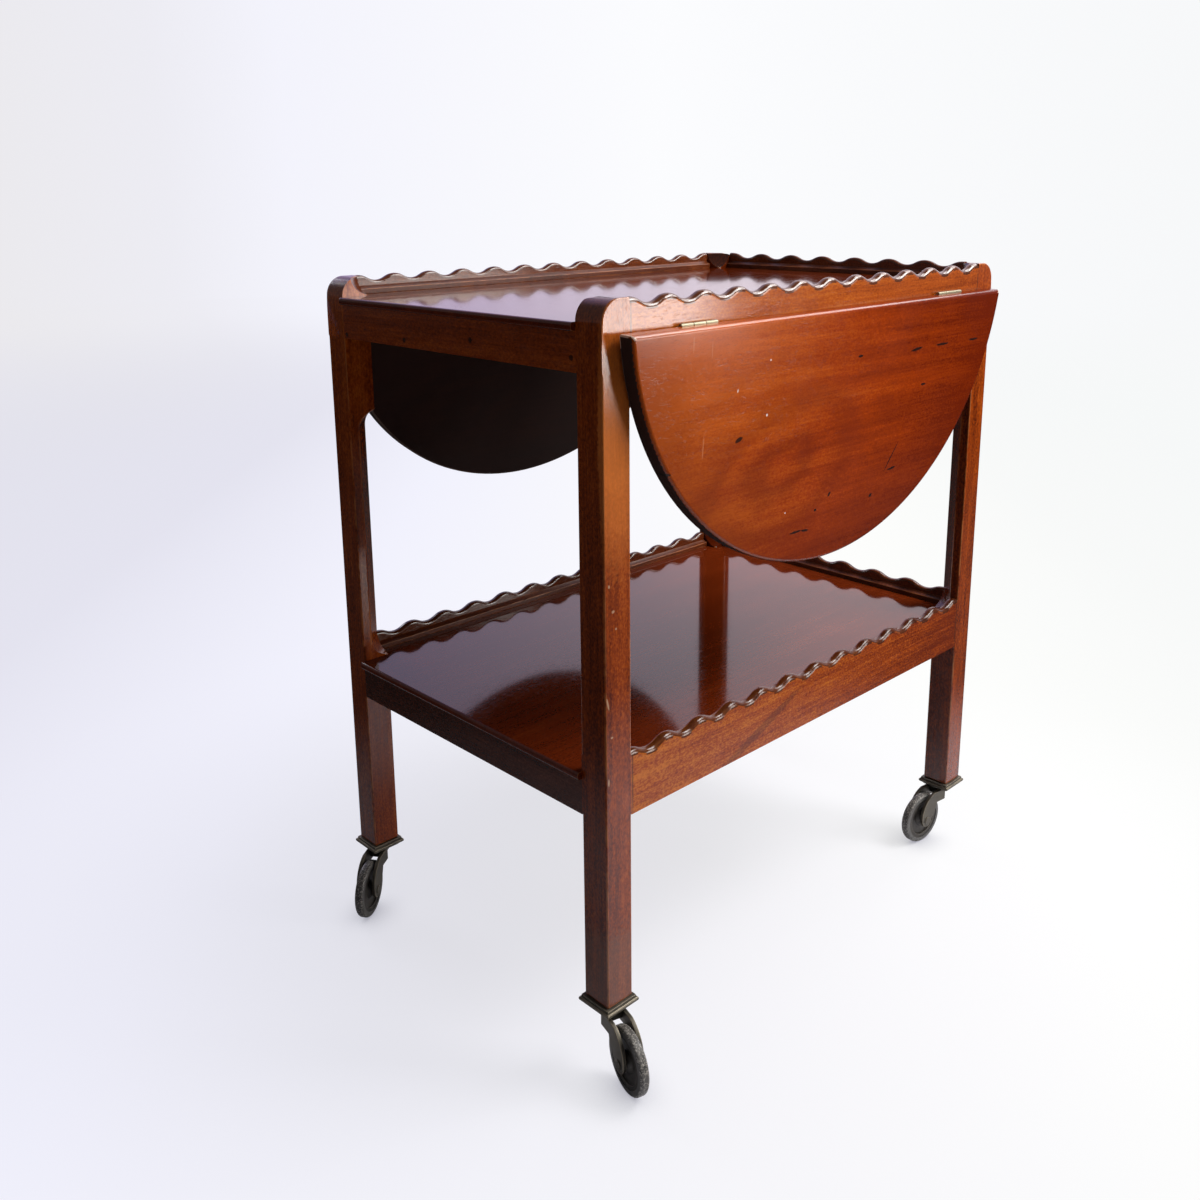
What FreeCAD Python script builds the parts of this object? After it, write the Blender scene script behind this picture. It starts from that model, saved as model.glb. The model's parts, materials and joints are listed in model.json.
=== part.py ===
import FreeCAD
import Part
import Sketcher
import math
import os
from types import SimpleNamespace

# Drop leaf tea trolley: two galleried trays between four legs on castors, with two hinged leaves.
# The frame's origin is on the floor under the middle of the trolley. X runs along the trolley, from the
# open end (left) to the galleried end (right), Y runs across it from front to back, and Z is up.

DIMENSIONS = [
    ("frame_length", 636, "over the outer faces of the legs, along X"),
    ("frame_width", 425, "over the outer faces of the legs, along Y"),
    ("leg_width", 32, "side of the square leg"),
    ("upper_tray_level", 718, "floor to the upper tray's surface"),
    ("lower_tray_level", 309.5, "floor to the lower tray's surface"),
    ("gallery_rise", 20, "tray surface to the crests of the gallery"),
    ("wave_height", 6.2, "crest to trough of the gallery's edge"),
    ("long_wave_count", 12, "waves on a front or back gallery"),
    ("end_wave_count", 7, "waves on an end gallery"),
    ("wave_margin", 3.5, "level stretch beside each leg"),
    ("rail_thickness", 16, "rail below the tray's surface"),
    ("gallery_thickness", 10, "rail above the tray's surface"),
    ("rail_depth", 43, "tray surface down to the rail's lower edge"),
    ("tenon_thickness", 6, "stub tenon across the rail"),
    ("tenon_length", 12, "stub tenon into the leg"),
    ("tenon_shoulder", 6, "rail edge to tenon, above and below"),
    ("tenon_setback", 5, "outer face to the tenon's cheek"),
    ("joint_clearance", 0.1, "round each tenon and at its end"),
    ("leg_top_radius", 20, "rounding of the leg's outer end"),
    ("corner_chamfer", 21, "leg of the inner corner's chamfer"),
    ("chamfer_stop_height", 594, "floor to the upper stop of the chamfer"),
    ("tray_thickness", 8, "tray board"),
    ("tray_overhang", 5, "nosing past the legs at the open end"),
    ("tray_gap", 0.2, "tray board to the rails and legs round it"),
    ("nosing_radius", 3, "rounding of the open edge"),
    ("bead_height", 9, "bead moulding against the gallery"),
    ("bead_face", 5.5, "upright face of the bead moulding"),
    ("cleat_side", 12, "square cleat under a tray"),
    ("leaf_thickness", 16.5, "drop leaf"),
    ("leaf_setback", 13.3, "outer face of a leg to the end of the leaf's ellipse"),
    ("leaf_half_depth", 288.6, "half axis of the leaf's ellipse along Z"),
    ("leaf_centre_rise", 33, "hinge line up to the ellipse's centre"),
    ("leaf_edge_radius", 4, "rounding round the leaf's outer face"),
    ("hinge_drop", 9, "upper tray's surface down to the hinge line"),
    ("hinge_standoff", 3.5, "rail face to the hinge line"),
    ("hinge_inset", 76, "leg to the middle of the hinge beside it"),
    ("hinge_offset", 6, "middle of the pair from the trolley's middle"),
    ("hinge_length", 48, "butt hinge along X"),
    ("hinge_plate_depth", 22, "butt hinge plate below the hinge line"),
    ("hinge_plate_thickness", 1.6, "butt hinge plate"),
    ("knuckle_radius", 2.3, "butt hinge barrel"),
    ("knuckle_gap", 0.4, "between knuckles, and round them in the leaf"),
    ("hinge_pin_radius", 1.1, "butt hinge pin"),
    ("running_clearance", 0.05, "radial, pin in bore"),
    ("front_leaf_angle", -2.6, "lean of the front leaf, degrees, outward positive"),
    ("back_leaf_angle", 13.5, "swing of the back leaf, degrees, outward positive"),
    ("hanging_leaf_angle", -2.6, "where a leaf hangs at its stop, degrees"),
    ("stay_ratio", 2.195, "turn of a stay for one degree of its leaf"),
    ("stay_length", 98, "stay pivot to the middle of its tip"),
    ("stay_thickness", 8, "stay in the plane that it swings in"),
    ("stay_width", 24, "stay along X"),
    ("stay_drop", 9, "rail's lower edge to the stay's pivot"),
    ("stay_pin_radius", 2, "stay pivot pin"),
    ("stay_side_gap", 0.4, "stay to the ears beside it"),
    ("bracket_thickness", 2, "plate and ears of the stay bracket"),
    ("bracket_tab", 14, "screw tab of the stay bracket beyond an ear"),
    ("ear_radius", 5, "round end of a stay bracket's ear"),
    ("wheel_radius", 32, "castor, over the tyre"),
    ("tyre_width", 10, "castor tyre"),
    ("tyre_depth", 6.3, "tyre's outside to its seat on the wheel"),
    ("tyre_round", 3, "rounding of the tread's shoulders"),
    ("rim_depth", 4.5, "wheel rim, tyre seat to the recessed web"),
    ("rim_width", 8.6, "wheel rim"),
    ("web_thickness", 4, "recessed web of the wheel"),
    ("hub_width", 13.6, "wheel's hub between the fork arms"),
    ("hub_radius", 6.5, "face of the wheel's conical hub"),
    ("hub_base_radius", 11, "conical hub where it meets the web"),
    ("axle_radius", 3, "castor axle"),
    ("axle_head_radius", 4.6, "riveted head of the axle"),
    ("axle_head_thickness", 1, "riveted head of the axle"),
    ("castor_trail", 38.9, "pivot line to the axle"),
    ("fork_side_gap", 0.7, "hub to a fork arm"),
    ("fork_arm_thickness", 4, "castor fork arm"),
    ("fork_end_radius", 9, "round end of a fork arm"),
    ("fork_plate_reach", 12, "pivot line forward to the edge of the fork's top plate"),
    ("fork_plate_height", 4, "fork's top plate under the cap"),
    ("fork_face_reach", 4.8, "pivot line back to the front face of the arms"),
    ("fork_shoulder_reach", 20, "pivot line back to where an arm turns down"),
    ("fork_top_reach", 26, "pivot line back to the end of an arm's level top"),
    ("fork_web_reach", 12.5, "pivot line back to the end of the web between the arms"),
    ("fork_web_height", 9.7, "web between the arms"),
    ("fork_crown_lift", 19.5, "axle up to the underside of the arms' shoulder"),
    ("fork_crown_height", 14.7, "arms' shoulder up to the top of the fork"),
    ("fork_front_radius", 50, "sweep of an arm's leading edge"),
    ("fork_back_radius", 31, "sweep of an arm's trailing edge"),
    ("fork_gap", 0.3, "fork crown to the cap above it"),
    ("pivot_radius", 4, "castor pivot pin"),
    ("pivot_length", 18, "castor pivot pin above the crown"),
    ("cap_height", 10.5, "square castor cap below the leg"),
    ("cap_band_width", 41, "widest band of the cap"),
    ("cap_band_height", 4.2, "widest band of the cap"),
    ("cap_foot_width", 30, "underside of the cap"),
    ("cap_neck_width", 37, "top of the cap, under the leg"),
    ("cap_neck_height", 2.5, "top of the cap, under the leg"),
    ("spigot_radius", 7, "spigot that holds the cap in the leg"),
    ("spigot_length", 16, "spigot that holds the cap in the leg"),
    ("overrun", 2, "how far a cutting shape passes a face"),
]

# Which way each castor trails in the view that was modelled, in degrees from +X.
CASTOR_ANGLES = {
    "front_left": -105.8,
    "back_left": 214.8,
    "front_right": 172.7,
    "back_right": 35.0,
}

# The corner that a leg or castor stands at: side along X, side along Y.
CORNERS = {
    "front_left": (-1, -1),
    "back_left": (-1, 1),
    "front_right": (1, -1),
    "back_right": (1, 1),
}

UP = FreeCAD.Vector(0, 0, 1)
ALONG = FreeCAD.Vector(1, 0, 0)
ACROSS = FreeCAD.Vector(0, 1, 0)
DIAGONAL = math.sqrt(2)


class Size:
    """A length, with the expression on the sheet's cells that gives it."""

    def __init__(self, value, text):
        self.value = float(value)
        self.text = text

    @staticmethod
    def of(other):
        if isinstance(other, Size):
            return other
        return Size(other, f"({float(other)!r})")

    def join(self, other, sign, value):
        return Size(value, f"({self.text} {sign} {Size.of(other).text})")

    def __add__(self, other):
        return self.join(other, "+", self.value + Size.of(other).value)

    def __sub__(self, other):
        return self.join(other, "-", self.value - Size.of(other).value)

    def __mul__(self, other):
        return self.join(other, "*", self.value * Size.of(other).value)

    def __rmul__(self, other):
        return Size.of(other) * self

    def __truediv__(self, other):
        return self.join(other, "/", self.value / Size.of(other).value)

    def __neg__(self):
        return Size(-self.value, f"(-1 * {self.text})")

    def root(self):
        return Size(math.sqrt(self.value), f"sqrt({self.text})")

    def larger(self, other):
        return Size(max(self.value, other.value), f"max({self.text}; {other.text})")

    def smaller(self, other):
        return Size(min(self.value, other.value), f"min({self.text}; {other.text})")


ZERO = Size.of(0)

document = FreeCAD.newDocument("tea_trolley")
sheet = document.addObject("Spreadsheet::Sheet", "Sizes")
for row, (alias, number, note) in enumerate(DIMENSIONS, start=1):
    sheet.set(f"A{row}", alias)
    sheet.set(f"B{row}", str(number))
    sheet.setAlias(f"B{row}", alias)
    sheet.set(f"C{row}", note)
document.recompute()
s = SimpleNamespace(**{name: Size(sheet.get(name), f"Sizes.{name}") for name, _, _ in DIMENSIONS})

# Places that several pieces share.
half_length = s.frame_length / 2
half_width = s.frame_width / 2
long_span = s.frame_length - s.leg_width * 2
end_span = s.frame_width - s.leg_width * 2
leg_x = half_length - s.leg_width / 2
leg_y = half_width - s.leg_width / 2
top_height = s.upper_tray_level + s.gallery_rise
hinge_y = half_width + s.hinge_standoff
hinge_height = s.upper_tray_level - s.hinge_drop
hinge_reach = long_span / 2 - s.hinge_inset
leaf_half_length = half_length - s.leaf_setback
axle_height = s.wheel_radius
hub_half = s.hub_width / 2
fork_inner_width = s.hub_width + s.fork_side_gap * 2
fork_outer_width = fork_inner_width + s.fork_arm_thickness * 2
crown_bottom = axle_height + s.fork_crown_lift
crown_top = crown_bottom + s.fork_crown_height
cap_foot_level = crown_top + s.fork_gap
leg_foot_height = cap_foot_level + s.cap_height
stay_pivot_y = half_width - s.rail_thickness / 2
stay_pivot_level = s.upper_tray_level - s.rail_depth - s.stay_drop

finished = []


def bind(item, name, length):
    """Tie a property to the sheet, or set it where it is a plain zero."""
    item.setExpression(name, length.text)


def place(item, x, y, z, rotation=None):
    """Put an object at a point that follows the sheet."""
    start = FreeCAD.Vector(x.value, y.value, z.value)
    item.Placement = FreeCAD.Placement(start, rotation or FreeCAD.Rotation())
    for axis, length in zip("xyz", (x, y, z)):
        bind(item, f"Placement.Base.{axis}", length)


def keep(item, label):
    """Name a finished sub-part."""
    item.Label = label
    finished.append(item)
    return item


def centred_box(name, sizes, centre):
    """Box of three sizes about a centre."""
    item = document.addObject("Part::Box", name)
    for side, length in zip(("Length", "Width", "Height"), sizes):
        bind(item, side, length)
    low = [middle - length / 2 for middle, length in zip(centre, sizes)]
    place(item, *low)
    return item


def diagonal_box(name, depth, breadth, height, centre):
    """Upright box turned an eighth of a turn about Z, on its own centre."""
    item = document.addObject("Part::Box", name)
    for side, length in zip(("Length", "Width", "Height"), (depth, breadth, height)):
        bind(item, side, length)
    half_root = DIAGONAL / 4
    x = centre[0] - (depth - breadth) * half_root
    y = centre[1] - (depth + breadth) * half_root
    place(item, x, y, centre[2] - height / 2, FreeCAD.Rotation(UP, 45))
    return item


def cylinder(name, radius, length, start, direction):
    """Cylinder from a start point along a direction."""
    item = document.addObject("Part::Cylinder", name)
    bind(item, "Radius", radius)
    bind(item, "Height", length)
    place(item, *start, FreeCAD.Rotation(UP, direction))
    return item


def fuse(name, shapes):
    """Join solids into one."""
    item = document.addObject("Part::MultiFuse", name)
    item.Shapes = shapes
    item.Refine = True
    return item


def cut(name, base, tools):
    """Take tools away from a base."""
    item = document.addObject("Part::Cut", name)
    item.Base = base
    item.Tool = tools[0] if len(tools) == 1 else fuse(f"{name}_tools", tools)
    item.Refine = True
    return item


def group(name, shapes):
    """Separate solids that share one node."""
    item = document.addObject("Part::Compound", name)
    item.Links = shapes
    return item


def edge_numbers(shape, test):
    """Numbers of the edges whose middle passes a test."""
    found = []
    for number, edge in enumerate(shape.Edges, start=1):
        middle = edge.valueAt((edge.FirstParameter + edge.LastParameter) / 2)
        if test(edge, middle):
            found.append(number)
    return found


def near(first, second):
    """Whether two coordinates are the same place."""
    return abs(first - second) < s.joint_clearance.value


def new_body(name):
    """Body that a sub-part is built in."""
    return document.addObject("PartDesign::Body", name)


def origin_feature(body, role):
    """One of a body's own planes or axes."""
    return next(item for item in body.Origin.OriginFeatures if item.Role == role)


def new_sketch(body, plane, name, offset=None):
    """Sketch on one of a body's own planes, or lifted off it."""
    item = body.newObject("Sketcher::SketchObject", name)
    item.AttachmentSupport = (origin_feature(body, plane), [""])
    item.MapMode = "FlatFace"
    if offset is not None:
        bind(item, "AttachmentOffset.Base.z", offset)
    return item


def tie(item, kind, geometry, end, length):
    """Constrain one coordinate of a point, or a radius, to the sheet."""
    if end is None:
        number = item.addConstraint(Sketcher.Constraint(kind, geometry, length.value))
    else:
        number = item.addConstraint(Sketcher.Constraint(kind, geometry, end, length.value))
    if "Sizes" in length.text:
        item.setExpression(f"Constraints[{number}]", length.text)


def tie_point(item, geometry, end, point):
    """Constrain a point of a sketch to the sheet."""
    tie(item, "DistanceX", geometry, end, point[0])
    tie(item, "DistanceY", geometry, end, point[1])


def flat(point):
    """Sketch point as a vector."""
    return FreeCAD.Vector(point[0].value, point[1].value, 0)


def outline(item, points, bends=None):
    """Closed outline through points. A bend turns the side that starts at a point into an arc.

    A bend is the arc's radius and the side that it swells to: 1 to the left of the way, -1 to the right.
    """
    bends = bends or {}
    count = len(points)
    for index in range(count):
        start = flat(points[index])
        end = flat(points[(index + 1) % count])
        if index in bends:
            item.addGeometry(bent_side(start, end, *bends[index]), False)
        else:
            item.addGeometry(Part.LineSegment(start, end), False)
    for index in range(count):
        following = (index + 1) % count
        own_ends = side_ends(bends, index)
        next_ends = side_ends(bends, following)
        item.addConstraint(Sketcher.Constraint("Coincident", index, own_ends[1], following, next_ends[0]))
        tie_point(item, index, own_ends[0], points[index])
        if index in bends:
            tie(item, "Radius", index, None, bends[index][0])


def bent_side(start, end, radius, side):
    """Arc between two points. It is always drawn anticlockwise, as sketches want it."""
    chord = end - start
    left = FreeCAD.Vector(-chord.y, chord.x, 0).normalize()
    drop = math.sqrt(radius.value ** 2 - chord.Length ** 2 / 4)
    centre = (start + end) / 2 - left * (drop * side)
    first, last = (end, start) if side > 0 else (start, end)
    first_angle = math.atan2(first.y - centre.y, first.x - centre.x)
    last_angle = math.atan2(last.y - centre.y, last.x - centre.x)
    return Part.ArcOfCircle(Part.Circle(centre, UP, radius.value), first_angle, last_angle)


def side_ends(bends, index):
    """Numbers of a side's first and last end along the outline."""
    if index in bends and bends[index][1] > 0:
        return 2, 1
    return 1, 2


def pad(body, profile, name, length, both_ways=False, reverse=False):
    """Pad a sketch."""
    item = body.newObject("PartDesign::Pad", name)
    item.Profile = profile
    item.Midplane = both_ways
    item.Reversed = reverse
    bind(item, "Length", length)
    return item


def pocket(body, profile, name, length, both_ways=False, reverse=False):
    """Cut a sketch into a body, and make sure that it took something away."""
    document.recompute()
    before = body.Shape.Volume
    item = body.newObject("PartDesign::Pocket", name)
    item.Profile = profile
    item.Midplane = both_ways
    item.Reversed = reverse
    bind(item, "Length", length)
    document.recompute()
    if not body.Shape.Volume < before:
        raise ValueError(f"{name} cuts nothing")
    return item


def leg(corner):
    """Square leg: rounded top, scooped inner corner, stopped chamfer, mortises and the castor's bore."""
    side_x, side_y = CORNERS[corner]
    name = f"leg_{corner}"
    middle = (leg_x * side_x, leg_y * side_y)
    length = top_height - leg_foot_height
    centre = (middle[0], middle[1], leg_foot_height + length / 2)
    post = centred_box(f"{name}_post", (s.leg_width, s.leg_width, length), centre)
    document.recompute()
    outer = (half_length * side_x).value
    top = top_height.value
    rounded = document.addObject("Part::Fillet", f"{name}_rounded")
    rounded.Base = post
    radius = s.leg_top_radius.value
    chosen = edge_numbers(post.Shape, lambda edge, at: near(at.x, outer) and near(at.z, top))
    rounded.Edges = [(number, radius, radius) for number in chosen]

    # The inner corner's chamfer runs out at its stops in a cove, a drum lying across the corner.
    depth = s.corner_chamfer / DIAGONAL
    rise = s.gallery_rise
    drum_radius = (rise * rise + depth * depth) / (depth * 2)
    half_root = DIAGONAL / 2
    inner = (middle[0] - s.leg_width / 2 * side_x, middle[1] - s.leg_width / 2 * side_y)
    drum_length = s.leg_width * 2
    lie = FreeCAD.Vector(-side_y, side_x, 0)
    drum_back = drum_radius - depth
    tools = []
    lower_crest = s.lower_tray_level + rise
    upper_stop = s.chamfer_stop_height - rise
    for index, level in enumerate((top_height, lower_crest, upper_stop)):
        x = inner[0] - drum_back * (half_root * side_x) + drum_length * (half_root * side_y / 2)
        y = inner[1] - drum_back * (half_root * side_y) - drum_length * (half_root * side_x / 2)
        tools.append(cylinder(f"{name}_cove_{index}", drum_radius, drum_length, (x, y, level), lie))
    flat_height = upper_stop - lower_crest
    slab = s.leg_width
    slab_x = inner[0] + (depth - slab / 2) * (half_root * side_x)
    slab_y = inner[1] + (depth - slab / 2) * (half_root * side_y)
    slab_sizes = (slab, drum_length) if side_x == side_y else (drum_length, slab)
    slab_centre = (slab_x, slab_y, lower_crest + flat_height / 2)
    tools.append(diagonal_box(f"{name}_chamfer", *slab_sizes, flat_height, slab_centre))

    # Mortises for the two rails of each tier, and the bore for the castor cap's spigot.
    deep = s.tenon_length + s.joint_clearance
    thick = s.tenon_thickness + s.joint_clearance * 2
    cheek = s.tenon_setback + s.tenon_thickness / 2
    for tier, level in (("upper", s.upper_tray_level), ("lower", s.lower_tray_level)):
        low, high = tenon_levels(level)
        tall = high - low + s.joint_clearance * 2
        middle_z = (high + low) / 2
        long_x = inner[0] + deep * side_x / 2
        long_y = (half_width - cheek) * side_y
        long_centre = (long_x, long_y, middle_z)
        tools.append(centred_box(f"{name}_{tier}_long_mortise", (deep, thick, tall), long_centre))
        end_x = (half_length - cheek) * side_x
        end_y = inner[1] + deep * side_y / 2
        end_centre = (end_x, end_y, middle_z)
        tools.append(centred_box(f"{name}_{tier}_end_mortise", (thick, deep, tall), end_centre))
    bore_start = (middle[0], middle[1], leg_foot_height - s.overrun)
    bore_radius = s.spigot_radius + s.joint_clearance
    bore_length = s.spigot_length + s.joint_clearance + s.overrun
    tools.append(cylinder(f"{name}_bore", bore_radius, bore_length, bore_start, UP))
    return keep(cut(name, rounded, tools), name)


def tenon_levels(tray_level):
    """Lower and upper edge of the tenons of one tier."""
    low = tray_level - s.rail_depth + s.tenon_shoulder
    high = tray_level - s.tray_thickness - s.tenon_shoulder
    return low, high


def rail(label, span, tray_level, position, turn, waves=None, hinge_side=0):
    """Rail between two legs, in a frame with X along it and Y from its outer face inwards."""
    body = new_body(label)
    bottom = tray_level - s.rail_depth
    top = tray_level + s.gallery_rise
    section = new_sketch(body, "YZ_Plane", f"{label}_section")
    if waves is None:
        ledge = tray_level - s.tray_thickness
        points = [(ZERO, bottom), (s.rail_thickness, bottom), (s.rail_thickness, ledge), (ZERO, ledge)]
    else:
        crest = top + s.overrun
        points = [
            (ZERO, bottom),
            (s.rail_thickness, bottom),
            (s.rail_thickness, tray_level),
            (s.gallery_thickness, tray_level),
            (s.gallery_thickness, crest),
            (ZERO, crest),
        ]
    outline(section, points)
    pad(body, section, f"{label}_board", span, both_ways=True)
    low, high = tenon_levels(tray_level)
    tongue = new_sketch(body, "YZ_Plane", f"{label}_tongue")
    near_cheek = s.tenon_setback
    far_cheek = s.tenon_setback + s.tenon_thickness
    outline(tongue, [(near_cheek, low), (far_cheek, low), (far_cheek, high), (near_cheek, high)])
    pad(body, tongue, f"{label}_tenons", span + s.tenon_length * 2, both_ways=True)
    if waves is not None:
        scallop_edge(body, label, span, top, waves)
    if hinge_side:
        hinge_recesses(body, label, hinge_side)
    turned = FreeCAD.Rotation(UP, turn)
    place(body, *position, ZERO, turned)
    return keep(body, label)


def scallop_edge(body, label, span, top, waves):
    """Cut the gallery's wavy edge: level margins, then one scallop of tangent arcs, repeated."""
    half_span = span / 2
    start = s.wave_margin - half_span
    brim = top + s.overrun
    for side in (-1, 1):
        margin = new_sketch(body, "XZ_Plane", f"{label}_margin_{'right' if side > 0 else 'left'}")
        ends = sorted((half_span * side, start * -side), key=lambda length: length.value)
        outline(margin, [(ends[0], top), (ends[1], top), (ends[1], brim), (ends[0], brim)])
        through = s.gallery_thickness + s.rail_thickness
        pocket(body, margin, f"{label}_level_{'right' if side > 0 else 'left'}", through, both_ways=True)
    pitch = (span - s.wave_margin * 2) / waves
    height = s.wave_height
    # Two equal arcs meet at their tangent between a crest and the next trough.
    radius = (pitch * pitch / 4 + height * height) / (height * 4)
    quarter = pitch / 4
    points = [
        (start, top),
        (start + quarter, top - height / 2),
        (start + quarter * 3, top - height / 2),
        (start + pitch, top),
        (start + pitch, brim),
        (start, brim),
    ]
    scallop = new_sketch(body, "XZ_Plane", f"{label}_scallop")
    outline(scallop, points, {0: (radius, 1), 1: (radius, -1), 2: (radius, 1)})
    through = s.gallery_thickness + s.rail_thickness
    first = pocket(body, scallop, f"{label}_first_scallop", through, both_ways=True)
    row = body.newObject("PartDesign::LinearPattern", f"{label}_wave")
    row.Originals = [first]
    row.Direction = (origin_feature(body, "X_Axis"), [""])
    bind(row, "Length", pitch * (waves - 1))
    bind(row, "Occurrences", waves)
    body.Tip = row


def hinge_places(hinge_side):
    """Middles of a rail's hinges in the rail's own frame."""
    return [s.hinge_offset * hinge_side + hinge_reach * way for way in (-1, 1)]


def hinge_recesses(body, label, hinge_side):
    """Let the rail's hinge plates in flush with its outer face."""
    low = hinge_height - s.hinge_plate_depth
    for index, middle in enumerate(hinge_places(hinge_side)):
        left = middle - s.hinge_length / 2
        right = middle + s.hinge_length / 2
        recess = new_sketch(body, "XZ_Plane", f"{label}_recess_{index}")
        outline(recess, [(left, low), (right, low), (right, hinge_height), (left, hinge_height)])
        pocket(body, recess, f"{label}_hinge_seat_{index}", s.hinge_plate_thickness)


def rails():
    """The eight rails of the two tiers."""
    for tier, level in (("upper", s.upper_tray_level), ("lower", s.lower_tray_level)):
        hinged = 1 if tier == "upper" else 0
        front = (ZERO, -half_width)
        back = (ZERO, half_width)
        right = (half_length, ZERO)
        left = (-half_length, ZERO)
        rail(f"{tier}_rail_front", long_span, level, front, 0, s.long_wave_count, hinged)
        rail(f"{tier}_rail_back", long_span, level, back, 180, s.long_wave_count, -hinged)
        rail(f"{tier}_rail_right", end_span, level, right, 90, s.end_wave_count)
        rail(f"{tier}_rail_left", end_span, level, left, -90)


def tray(tier, level):
    """Tray board: notched round the legs, with a nosed edge at the open end."""
    label = f"{tier}_tray"
    body = new_body(label)
    side = half_width - s.rail_thickness - s.tray_gap
    throat = half_width - s.leg_width - s.tray_gap
    notch = half_length - s.leg_width - s.tray_gap
    right = half_length - s.rail_thickness - s.tray_gap
    left = half_length + s.tray_overhang
    points = [
        (-left, -throat),
        (-notch, -throat),
        (-notch, -side),
        (notch, -side),
        (notch, -throat),
        (right, -throat),
        (right, throat),
        (notch, throat),
        (notch, side),
        (-notch, side),
        (-notch, throat),
        (-left, throat),
    ]
    plan = new_sketch(body, "XY_Plane", f"{label}_plan", level)
    outline(plan, points)
    board = pad(body, plan, f"{label}_board", s.tray_thickness, reverse=True)
    document.recompute()
    open_edge = (-left).value
    nosing = body.newObject("PartDesign::Fillet", f"{label}_nosing")
    chosen = edge_numbers(board.Shape, lambda edge, at: near(at.x, open_edge) and near(at.y, 0))
    nosing.Base = (board, [f"Edge{number}" for number in chosen])
    bind(nosing, "Radius", s.nosing_radius)
    return keep(body, label)


def strips(tier, level):
    """The beads inside a tier's galleries, and the cleats that carry its tray."""
    ledge = s.rail_thickness - s.gallery_thickness
    beads = []
    cleats = []
    runs = (
        ("front", long_span, (ZERO, -half_width), 0),
        ("back", long_span, (ZERO, half_width), 180),
        ("right", end_span, (half_length, ZERO), 90),
    )
    for side, span, position, turn in runs:
        turned = FreeCAD.Rotation(UP, turn)
        name = f"{tier}_bead_{side}"
        body = new_body(name)
        section = new_sketch(body, "YZ_Plane", f"{name}_section")
        points = [
            (s.gallery_thickness, level),
            (s.gallery_thickness + ledge, level),
            (s.gallery_thickness + ledge, level + s.bead_face),
            (s.gallery_thickness, level + s.bead_height),
        ]
        hollow = (ledge * ledge + s.bead_height * s.bead_height).root()
        outline(section, points, {2: (hollow, 1)})
        pad(body, section, f"{name}_strip", span, both_ways=True)
        place(body, *position, ZERO, turned)
        beads.append(body)

        name = f"{tier}_cleat_{side}"
        body = new_body(name)
        section = new_sketch(body, "YZ_Plane", f"{name}_section")
        under = level - s.tray_thickness
        low = under - s.cleat_side
        far = s.rail_thickness + s.cleat_side
        outline(section, [(s.rail_thickness, low), (far, low), (far, under), (s.rail_thickness, under)])
        setback = (s.leg_width - s.rail_thickness) * 2 if side == "right" else ZERO
        pad(body, section, f"{name}_strip", span - setback, both_ways=True)
        place(body, *position, ZERO, turned)
        cleats.append(body)
    keep(group(f"{tier}_beads", beads), f"{tier}_gallery_beads")
    keep(group(f"{tier}_cleats", cleats), f"{tier}_tray_cleats")


def leaf_frame(side, angle):
    """Placement of a leaf's own frame: the hinge line is its X axis, and it hangs down its -Z."""
    hanging = FreeCAD.Rotation(ALONG, -angle.value)
    turn = FreeCAD.Rotation(UP, 0 if side < 0 else 180)
    return turn.multiply(hanging)


def leaf(name, side, angle):
    """Drop leaf, a slice of an ellipse, rounded round its outer face and let in for its hinges."""
    label = f"leaf_{name}"
    oval = document.addObject("Part::Ellipse", f"{label}_oval")
    bind(oval, "MajorRadius", leaf_half_length.larger(s.leaf_half_depth))
    bind(oval, "MinorRadius", leaf_half_length.smaller(s.leaf_half_depth))
    upright = s.leaf_half_depth.value > leaf_half_length.value
    longways = FreeCAD.Rotation(UP, 90 if upright else 0)
    stood = FreeCAD.Rotation(ALONG, 90).multiply(longways)
    place(oval, ZERO, ZERO, s.leaf_centre_rise, stood)
    plate = document.addObject("Part::Extrusion", f"{label}_plate")
    plate.Base = oval
    plate.DirMode = "Custom"
    plate.Dir = -ACROSS
    plate.Solid = True
    bind(plate, "LengthFwd", s.leaf_thickness)
    document.recompute()
    outer = (-s.leaf_thickness).value
    radius = s.leaf_edge_radius.value
    rim = document.addObject("Part::Fillet", f"{label}_rim")
    rim.Base = plate
    chosen = edge_numbers(plate.Shape, lambda edge, at: near(at.y, outer))
    rim.Edges = [(number, radius, radius) for number in chosen]
    keep_length = leaf_half_length * 2 + s.overrun * 2
    keep_depth = s.leaf_half_depth + s.overrun
    keep_centre = (ZERO, -(s.leaf_thickness / 2), -(keep_depth / 2))
    below = centred_box(f"{label}_below", (keep_length, s.leaf_thickness, keep_depth), keep_centre)
    document.recompute()
    eased = document.addObject("Part::Fillet", f"{label}_eased")
    eased.Base = below
    chosen = edge_numbers(below.Shape, lambda edge, at: near(at.y, outer) and near(at.z, 0))
    eased.Edges = [(number, radius, radius) for number in chosen]
    slice_ = document.addObject("Part::MultiCommon", f"{label}_slice")
    slice_.Shapes = [rim, eased]

    tools = []
    for index, middle in enumerate(hinge_places(-side)):
        bare = s.knuckle_radius + s.knuckle_gap
        length = s.hinge_length + s.knuckle_gap * 2
        start = (middle - length / 2, ZERO, ZERO)
        tools.append(cylinder(f"{label}_barrel_{index}", bare, length, start, ALONG))
        seat_depth = s.hinge_plate_depth + s.overrun
        seat_middle = (s.overrun - s.hinge_plate_depth) / 2
        seat_sizes = (s.hinge_length, s.hinge_plate_thickness * 2, seat_depth)
        tools.append(centred_box(f"{label}_seat_{index}", seat_sizes, (middle, ZERO, seat_middle)))
    item = cut(label, slice_, tools)
    place(item, ZERO, hinge_y * side, hinge_height, leaf_frame(side, angle))
    return keep(item, label)


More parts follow.
